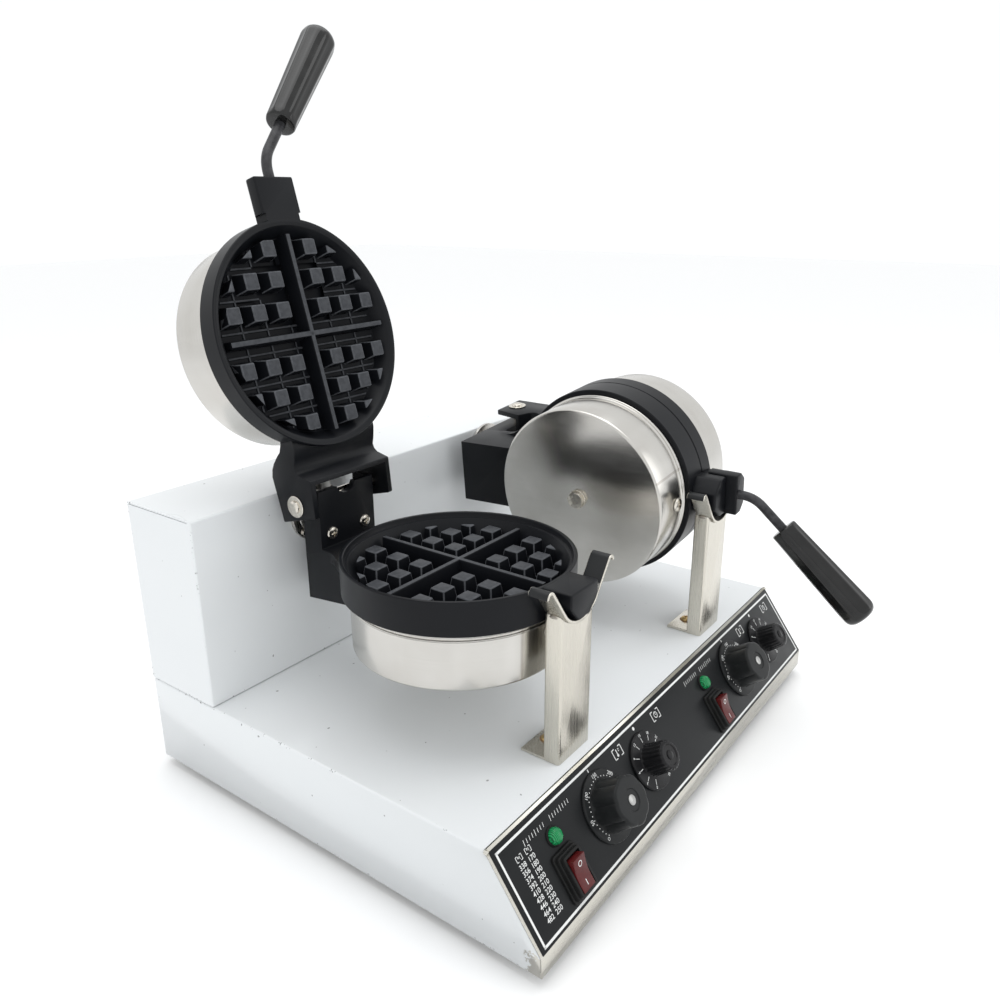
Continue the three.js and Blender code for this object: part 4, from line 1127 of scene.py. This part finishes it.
def swept(path, radius, sides=32):
    """A round bar along a path of points that lie at one height."""
    shape = bmesh.new()
    rings = []
    for index, point in enumerate(path):
        before, after = path[max(index - 1, 0)], path[min(index + 1, len(path) - 1)]
        along = (after - before).normalized()
        across = along.cross(Vector((0, 0, 1))).normalized()
        rings.append([])
        for step in range(sides):
            turn = 2 * math.pi * step / sides
            rings[-1].append(shape.verts.new(
                point + radius * (math.cos(turn) * across + Vector((0, 0, math.sin(turn))))))
    for first, second in zip(rings, rings[1:]):
        for step in range(sides):
            following = (step + 1) % sides
            shape.faces.new((first[step], first[following], second[following], second[step]))
    shape.faces.new(rings[0])
    shape.faces.new(rings[-1])
    bmesh.ops.recalc_face_normals(shape, faces=shape.faces)
    return shape


bend_start = Vector((0, ROD["bend"] + ROD["tangent"], ROD["z"]))
bend_end = elbow + ROD["tangent"] * crank
rod_path = [Vector((0, ROD["start"], ROD["z"])), bend_start + Vector((0, 0.004, 0))]
for step in range(13):
    share = step / 12
    rod_path.append((1 - share) ** 2 * bend_start + 2 * share * (1 - share) * elbow
                    + share ** 2 * bend_end)
rod_path += [bend_end + 0.003 * crank, elbow + (GRIP["start"] + 0.0245) * crank]
rod_shape = swept(rod_path, ROD["radius"])

rod_paint, rod_shader = finish("rod_paint", (0.016, 0.016, 0.017), 0.3, Specular_IOR_Level=0.3)
rod_spot = own_place(rod_paint)
rod_cloud = noise(rod_paint, rod_spot, 120.0)
wire(rod_paint, rod_shader.inputs["Base Color"],
     mixed(rod_paint, ramped(rod_paint, rod_cloud, 0.35, 0.7, 0.0, 1.0),
           (0.016, 0.016, 0.018), (0.05, 0.05, 0.054)))
wire(rod_paint, rod_shader.inputs["Roughness"], ramped(rod_paint, rod_cloud, 0.3, 0.7, 0.24, 0.42))
bumped(rod_paint, rod_shader, noise(rod_paint, rod_spot, 900.0, 2.0), 0.00003)
rod_mesh = meshed(rod_shape, rod_paint)

grip_gloss = moulded("grip_gloss", (0.006, 0.006, 0.006), 0.13, 1400.0, 0.000001, Specular_IOR_Level=0.42)
FLUTES, FLUTE_DEPTH = 10, 0.055
grip_profile = [(0, 0.0255), (0.005, 0.0255), (0.005, 0), (0.0118, 0), (0.013, 0.0004), (0.0137, 0.0018)]
grip_profile += [(GRIP["near"] + (GRIP["far"] - GRIP["near"]) * step / 18, 0.0018 + 0.1022 * step / 18)
                 for step in range(1, 19)]
grip_profile += [
    (GRIP["far"] - 0.0002, 0.107), (GRIP["far"] - 0.001, 0.1098), (GRIP["far"] - 0.0026, 0.1122),
    (GRIP["far"] - 0.005, 0.1139), (GRIP["far"] - 0.0085, 0.1148), (0, GRIP["length"])]
grip = lathe(grip_profile, 160)
for vert in grip.verts:
    out = math.hypot(vert.co.x, vert.co.y)
    if out > 0.008:
        turn = math.atan2(vert.co.y, vert.co.x)
        fade = min(1.0, max(0.0, (vert.co.z - 0.001) / 0.004))
        fade *= min(1.0, max(0.0, (0.111 - vert.co.z) / 0.01))
        scallop = 1 - abs(math.cos(FLUTES / 2 * turn)) ** 3
        vert.co.xy *= 1 - FLUTE_DEPTH * fade * scallop
grip_mesh = meshed(grip, grip_gloss, smooth=50)
grip_place = (Matrix.Translation(elbow + GRIP["start"] * crank)
              @ crank.to_track_quat("Z", "X").to_matrix().to_4x4())
for side in SIDES:
    fitted(rod_mesh, f"{side}_handle_rod_bent", f"{side}_lid", "black_rod",
           f"{side}_handle_rod", place=LID[side])
    fitted(grip_mesh, f"{side}_handle_grip_fluted", f"{side}_lid", "grip_black",
           f"{side}_handle_grip", place=LID[side] @ grip_place)

# ---- posts and cradles ---------------------------------------------------------------------------
# A flat tube folded from stainless sheet stands in front of each head, held by one brass-coloured
# screw through its foot. A strap bent to a trough with two curled ends is tacked on top for the hub.
post_steel = brushed("post_stainless", (0.66, 0.63, 0.56), 0.24, 2, smoky=0.1)
CRADLE = {"radius": 0.028, "wall": 0.0025, "arc": math.radians(55), "arm": 0.009, "hook": 0.005,
          "front": -0.124, "back": -0.106}
POST = {"half": 0.024, "front": -0.1204, "back": -0.1044, "wall": 0.002, "foot": -0.0825}
post_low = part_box("left_post")[0].z - joints["left_roll"]["pos_m"][2]


def cradle_half(offset, arc_steps=14, hook_steps=14):
    """One half of the trough's outline from its middle to the end of its hook, offset outwards."""
    radius, swing, hook = CRADLE["radius"], CRADLE["arc"], CRADLE["hook"]
    points = [((radius + offset) * math.sin(swing * step / arc_steps),
               -(radius + offset) * math.cos(swing * step / arc_steps)) for step in range(arc_steps + 1)]
    arm_x = radius * math.sin(swing) + (CRADLE["arm"] + radius * math.cos(swing)) / math.tan(swing)
    centre_x = arm_x + hook * math.sin(swing)
    centre_z = CRADLE["arm"] - hook * math.cos(swing)
    for step in range(hook_steps + 1):
        angle = math.pi / 2 + swing - 0.85 * math.pi * step / hook_steps
        points.append((centre_x + (hook - offset) * math.cos(angle),
                       centre_z + (hook - offset) * math.sin(angle)))
    return points


inner_line, outer_line = cradle_half(0.0), cradle_half(CRADLE["wall"])
strap_outline = ([(-x, z) for x, z in inner_line[:0:-1]] + inner_line + outer_line[::-1]
                 + [(-x, z) for x, z in outer_line[1:]])
strap = prism(strap_outline, "Y", CRADLE["front"], CRADLE["back"])
soften(strap, 0.0005, 2, 40)
strap_black, strap_shader = finish("strap_coat", (0.015, 0.016, 0.017), 0.36, Specular_IOR_Level=0.25)
strap_spot = own_place(strap_black)
strap_axes = node(strap_black, "SeparateXYZ", {"Vector": strap_spot}).outputs
strap_off = node(strap_black, "Math", {0: strap_axes[0]}, operation="ABSOLUTE").outputs[0]
strap_band = ramped(strap_black, near_plane(strap_black, strap_off, 0.0235, 0.006), 0.15, 0.5, 0.0, 1.0)
strap_bare = ramped(strap_black, noise(strap_black, strap_spot, 260.0, 2.0), 0.4, 0.5, 0.0, 1.0)
strap_rub = product(strap_black, strap_band, strap_bare)
wire(strap_black, strap_shader.inputs["Base Color"],
     mixed(strap_black, strap_rub, (0.015, 0.016, 0.017), (0.78, 0.76, 0.72)))
wire(strap_black, strap_shader.inputs["Metallic"], strap_rub)
strap_mesh = meshed(strap, post_steel, strap_black)
for face in strap_mesh.polygons:
    if abs(face.normal.y) < 0.3:
        place = (abs(face.center.x), face.center.z)
        if (min(math.dist(place, point) for point in inner_line)
                < min(math.dist(place, point) for point in outer_line)):
            face.material_index = 1


def upright(edge):
    return abs(edge.verts[0].co.z - edge.verts[1].co.z) > 0.01


post = slab((-POST["half"], POST["front"], post_low), (POST["half"], POST["back"], -0.01))
soften(post, 0.0026, 4, 30, upright)
post_room = slab((-POST["half"] + POST["wall"], POST["front"] + POST["wall"], post_low - 0.001),
                 (POST["half"] - POST["wall"], POST["back"] - POST["wall"], 0))
soften(post_room, 0.001, 3, 30, upright)
foot_plate = slab((-POST["half"], POST["back"] - POST["wall"], post_low),
                  (POST["half"], POST["foot"], post_low + 0.0025))
soften(foot_plate, 0.0006, 2, 30, lambda edge: middle(edge).y > POST["back"] - 0.001)
under_strap = cradle_half(CRADLE["wall"] + 0.0003)[:15]
last_x, last_z = under_strap[-1]
under_strap.append((last_x + 0.03 / math.tan(CRADLE["arc"]), last_z + 0.03))
above_strap = prism([(-x, z) for x, z in under_strap[:0:-1]] + under_strap, "Y", POST["front"] - 0.001,
                    POST["back"] + 0.001)
foot_middle = (POST["back"] + POST["foot"]) / 2
screw_way = lathe([(0, post_low - 0.001), (0.0028, post_low - 0.001), (0.0028, post_low + 0.005),
                   (0, post_low + 0.005)], 24)
moved(screw_way, 0, foot_middle, 0)
post = combined(post, [foot_plate], "UNION")
post = combined(post, [post_room, above_strap, screw_way], "DIFFERENCE")
post_mesh = meshed(post, post_steel)

tack = bmesh.new()
bmesh.ops.create_icosphere(tack, subdivisions=3, radius=0.0016)
for vert in tack.verts:
    vert.co.y *= 2.6 + 0.4 * math.sin(3000 * vert.co.y)
tack_mesh = meshed(tack, plated("weld_metal", (0.4, 0.37, 0.33), 0.35))

TACK = {"x": 0.0234, "y": -0.1124, "z": -0.0207, "lean": 0.9}
brass = plated("brass_plate", (0.62, 0.44, 0.2), 0.28)
post_screw_mesh = meshed(pan_screw(0.0055, 0.0032, 0.004, 0.0013), brass)
stain, stain_shader = finish("rust_stain", (0.3, 0.16, 0.06), 0.8)
stain_spots = noise(stain, own_place(stain), 700.0, 3.0)
wire(stain, stain_shader.inputs["Base Color"],
     mixed(stain, stain_spots, (0.16, 0.07, 0.02), (0.45, 0.3, 0.16)))
washer = lathe([(0.0029, 0), (0.0068, 0), (0.0064, 0.00035), (0.0029, 0.0004)], 40, closed=True)
washer_mesh = meshed(washer, stain)
for side in SIDES:
    stand = Matrix.Translation(HEAD[side].translation)
    fitted(post_mesh, f"{side}_post_folded", "base", "stainless", f"{side}_post", place=stand)
    fitted(strap_mesh, f"{side}_cradle_bent", "base", "cradle_steel", f"{side}_cradle", place=stand)
    on_foot = Matrix.Translation((0, foot_middle, post_low + 0.0028))
    fitted(post_screw_mesh, f"{side}_post_screw_set", "base", "brass_plated", f"{side}_post_screw",
           place=stand @ on_foot)
    fitted(washer_mesh, f"{side}_post_washer", "base", "brass_plated",
           place=stand @ Matrix.Translation((0, 0, -0.0003)) @ on_foot)
    for number, way in enumerate((-1, 1), 1):
        spot = (Matrix.Translation((way * TACK["x"], TACK["y"], TACK["z"]))
                @ Matrix.Rotation(way * -TACK["lean"], 4, "Y"))
        fitted(tack_mesh, f"{side}_weld_tack_{number}", "base", "stainless", place=stand @ spot)

# ---- switches and lamps --------------------------------------------------------------------------
# Each head has a green neon lamp with a ribbed lens, and a dark red rocker in a stepped rubber boot.
# The rocker carries the usual ring and bar, and its lower half is pressed.
PANEL_TOP = 0.0015
LAMP = {"x": -0.074, "s": 0.0575}
SWITCH = {"x": -0.074, "s": 0.027, "width": 0.0285, "height": 0.0395}

lens_green, lens_shader = finish("lamp_lens", (0.005, 0.2, 0.06), 0.2, Specular_IOR_Level=0.3,
                                 Emission_Color=(0.02, 0.8, 0.25, 1.0), Emission_Strength=0.02)
lens_cloud = node(lens_green, "TexWave", {"Vector": own_place(lens_green), "Scale": 260.0}).outputs["Fac"]
wire(lens_green, lens_shader.inputs["Base Color"], mixed(lens_green, lens_cloud, (0.002, 0.075, 0.025),
                                                         (0.02, 0.33, 0.11)))
lamp_lens = lathe([(0, -0.016), (0.0056, -0.016), (0.0056, 0.002), (0.0066, 0.0021), (0.0066, 0.0046),
                   (0.0062, 0.006), (0.0052, 0.0074), (0.0036, 0.0084), (0.0018, 0.0089), (0, 0.009)], 96)
for vert in lamp_lens.verts:
    if vert.co.z > 0.003:
        turn = math.atan2(vert.co.y, vert.co.x)
        vert.co.xy *= 1 - 0.05 * (0.5 + 0.5 * math.cos(16 * turn))
lamp_mesh = meshed(lamp_lens, lens_green, smooth=50)
bezel_mesh = meshed(lathe([(0.0067, PANEL_TOP), (0.008, PANEL_TOP), (0.008, 0.0024), (0.0074, 0.0031),
                           (0.0067, 0.003)], 64, closed=True), rubber)


def stepped(width, height, low, high, radius):
    shape = slab((-width / 2, -height / 2, low), (width / 2, height / 2, high))
    soften(shape, radius, 5, 30, lambda edge: abs(edge.verts[0].co.z - edge.verts[1].co.z) > 1e-4)
    return soften(shape, 0.0007, 3, 60, lambda edge: middle(edge).z > high - 1e-5)


boot = combined(stepped(SWITCH["width"], SWITCH["height"], PANEL_TOP, 0.004, 0.0034), [
    stepped(0.0249, 0.0359, 0.0035, 0.0075, 0.0029), stepped(0.0217, 0.0327, 0.007, 0.011, 0.0024),
    slab((-0.0111, -0.0151, -0.022), (0.0111, 0.0151, 0.003))], "UNION")
boot_mouth = slab((-0.0086, -0.0142, -0.012), (0.0086, 0.0142, 0.012))
boot = combined(boot, [boot_mouth], "DIFFERENCE")
boot_mesh = meshed(boot, rubber)

rocker_red, rocker_shader = finish("rocker_red", (0.08, 0.008, 0.009), 0.24, Specular_IOR_Level=0.3)
rocker_cloud = noise(rocker_red, own_place(rocker_red), 220.0, 3.0)
wire(rocker_red, rocker_shader.inputs["Base Color"],
     mixed(rocker_red, rocker_cloud, (0.06, 0.006, 0.007), (0.12, 0.014, 0.014)))
ROCKER = {"width": 0.0155, "pivot": 0.004, "tilt": math.radians(10)}
rocker = prism([(-0.013, -0.001), (-0.002, -0.009), (0.002, -0.009), (0.013, -0.001), (0.013, 0.0098),
                (0.0087, 0.0089), (0.0043, 0.0081), (0, 0.0078), (-0.0043, 0.0081), (-0.0087, 0.0089),
                (-0.013, 0.0098)], "X", -ROCKER["width"] / 2, ROCKER["width"] / 2)
soften(rocker, 0.0007, 3, 40)
rocker_mesh = meshed(rocker, rocker_red, smooth=25)
MARK = {"off": 0.0075, "height": 0.00868, "lean": 0.17}
rocker_marks = [ring(0, 0, 0.0021, 0.0006, 0.0), stroke(0, -0.0019, 0, 0.0019, 0.0007, 0.0)]
for way, mark in zip((1, -1), rocker_marks):
    mark_place = (Matrix.Translation((0, way * MARK["off"], MARK["height"]))
                  @ Matrix.Rotation(way * MARK["lean"], 4, "X"))
    bmesh.ops.transform(mark, verts=mark.verts, matrix=mark_place)
rocker_ink_mesh = meshed(gathered(rocker_marks), ink)

for side in SIDES:
    spot = panel_place @ Matrix.Translation((panel_x[side] + LAMP["x"], LAMP["s"], 0))
    fitted(lamp_mesh, f"{side}_lamp_lens", "base", "lamp_green", f"{side}_indicator_lamp", place=spot)
    fitted(bezel_mesh, f"{side}_lamp_bezel", "base", "rubber", place=spot)
    spot = panel_place @ Matrix.Translation((panel_x[side] + SWITCH["x"], SWITCH["s"], 0))
    fitted(boot_mesh, f"{side}_switch_boot_moulded", "base", "rubber", f"{side}_switch_boot", place=spot)
    tilted = spot @ Matrix.Translation((0, 0, ROCKER["pivot"])) @ Matrix.Rotation(ROCKER["tilt"], 4, "X")
    fitted(rocker_mesh, f"{side}_switch_rocker_moulded", f"{side}_rocker", "rocker_red",
           f"{side}_switch_rocker", place=tilted)
    fitted(rocker_ink_mesh, f"{side}_switch_rocker_marks", f"{side}_rocker", "panel_ink", place=tilted)

# ---- knobs ---------------------------------------------------------------------------------------
# Moulded phenolic knobs on flat skirts: the thermostat's with a few broad lobes and a scale in
# degrees, the timer's finely fluted with a scale in minutes. The print rides on the knob.
def knob_finish(name, colour, roughness):
    return moulded(name, colour, roughness, 900.0, 0.000004, Specular_IOR_Level=0.17)


knob_grey = knob_finish("knob_grey", (0.012, 0.013, 0.0135), 0.34)
knob_black = knob_finish("knob_black", (0.009, 0.009, 0.01), 0.22)
cap_disc = brushed("cap_disc", (0.45, 0.45, 0.44), 0.3, 0)
KNOBS = {
    "thermostat": {"x": -0.006, "skirt": 0.03, "grip": 0.022, "height": 0.03, "lobes": 8, "depth": 0.06,
                   "slot": "knob_grey"},
    "timer": {"x": 0.07, "skirt": 0.0265, "grip": 0.0146, "height": 0.026, "lobes": 22, "depth": 0.05,
              "slot": "knob_black"},
}
KNOB_S, SKIRT_LOW, SKIRT_FACE = 0.043, 0.002, 0.0046


def knob_shape(skirt, grip, height, lobes, depth):
    rim = [(0.003, -0.014), (0.003, SKIRT_LOW), (skirt - 0.0006, SKIRT_LOW), (skirt, SKIRT_LOW + 0.0006),
           (skirt - 0.0001, SKIRT_FACE - 0.0012), (skirt - 0.0009, SKIRT_FACE - 0.0001),
           (skirt - 0.0013, SKIRT_FACE), (grip + 0.0009, SKIRT_FACE),
           (grip + 0.0002, SKIRT_FACE + 0.0004), (grip, SKIRT_FACE + 0.0012)]
    wall = [(grip - 0.0012 * step / 8, SKIRT_FACE + 0.0012 + (height - 0.0036 - SKIRT_FACE) * step / 8)
            for step in range(1, 9)]
    top = grip - 0.0012
    cap = [(top - 0.0002, height - 0.0014), (top - 0.0009, height - 0.0006), (top - 0.0021, height - 0.0001),
           (top - 0.0032, height), (0.0092, height), (0.0086, height - 0.0008), (0, height - 0.0008)]
    shape = lathe([(0, -0.014), *rim, *wall, *cap], 192)
    sharpness = 0.7 if lobes < 12 else 1.5
    for vert in shape.verts:
        out = math.hypot(vert.co.x, vert.co.y)
        if vert.co.z > SKIRT_FACE + 0.0008 and out > grip * 0.7:
            turn = math.atan2(vert.co.y, vert.co.x)
            fade = min(1.0, (vert.co.z - SKIRT_FACE) / 0.003)
            fade *= min(1.0, max(0.0, (out - grip * 0.7) / (grip * 0.2)))
            vert.co.xy *= 1 - depth * fade * (1 - abs(math.cos(lobes / 2 * turn)) ** sharpness)
    return shape


def around(angle, radius):
    return radius * math.sin(angle), radius * math.cos(angle)


def radial_tick(angle, inner, outer, width):
    return stroke(*around(angle, inner), *around(angle, outer), width, SKIRT_FACE)


HEAT = {"start": -135, "step": 9, "dots": 0.0239, "figures": 0.0266, "size": 0.0046}
TIME = {"start": -150, "step": 30, "inner": 0.0172, "outer": 0.0212, "figures": 0.0235, "size": 0.0036}
heat_marks, time_marks = [], []
for step in range(31):
    angle = math.radians(HEAT["start"] + HEAT["step"] * step)
    heat_marks.append(dot(*around(angle, HEAT["dots"]), 0.0005, SKIRT_FACE))
    if step and step % 5 == 0:
        spot = around(angle, HEAT["figures"])
        heat_marks.append(figures(str(step * 10), HEAT["size"], *spot, -angle, SKIRT_FACE))
zero_spot = around(math.radians(HEAT["start"]), HEAT["figures"])
heat_marks.append(ring(*zero_spot, 0.0012, 0.0004, SKIRT_FACE, 20))
for step in range(11):
    angle = math.radians(TIME["start"] + TIME["step"] * step)
    time_marks.append(radial_tick(angle, TIME["inner"], TIME["outer"], 0.0006))
    spot = around(angle, TIME["figures"])
    time_marks.append(figures(str(step * 3), TIME["size"], *spot, -angle, SKIRT_FACE))
for kind, scale_marks, material, disc_material in (
        ("thermostat", heat_marks, knob_grey, cap_disc), ("timer", time_marks, knob_black, knob_black)):
    size = KNOBS[kind]
    height = size["height"]
    knob = knob_shape(size["skirt"], size["grip"], height, size["lobes"], size["depth"])
    knob_mesh = meshed(knob, material, smooth=40)
    scale_mesh = meshed(gathered(scale_marks), ink)
    disc = lathe([(0, height - 0.001), (0.0042, height - 0.001), (0.0042, height - 0.0003),
                  (0.0039, height - 0.0001), (0, height - 0.0001)], 64)
    disc_mesh = meshed(disc, disc_material)
    for side in SIDES:
        spot = panel_place @ Matrix.Translation((panel_x[side] + size["x"], KNOB_S, 0))
        body = f"{side}_{kind}"
        fitted(knob_mesh, f"{body}_knob_moulded", body, size["slot"], f"{body}_knob", place=spot)
        fitted(scale_mesh, f"{body}_knob_scale", body, "panel_ink", place=spot)
        fitted(disc_mesh, f"{body}_knob_cap", body, size["slot"], place=spot)

# ---- heaters and control bodies ------------------------------------------------------------------
# Inside each drum a nickel-iron sheathed element runs nearly full circle on the casting's back.
# Behind the panel sit the phenolic thermostat body and the timer's plated steel case.
node_finish(plated("heater_sheath", (0.2, 0.18, 0.16), 0.5),
            *[f"{side}_{half}_heater" for side in SIDES for half in ("lower", "upper")])
node_finish(moulded("phenolic", (0.03, 0.024, 0.02), 0.45), *[f"{side}_thermostat_body" for side in SIDES])
node_finish(plated("timer_case", (0.62, 0.6, 0.56), 0.3), *[f"{side}_timer_body" for side in SIDES])
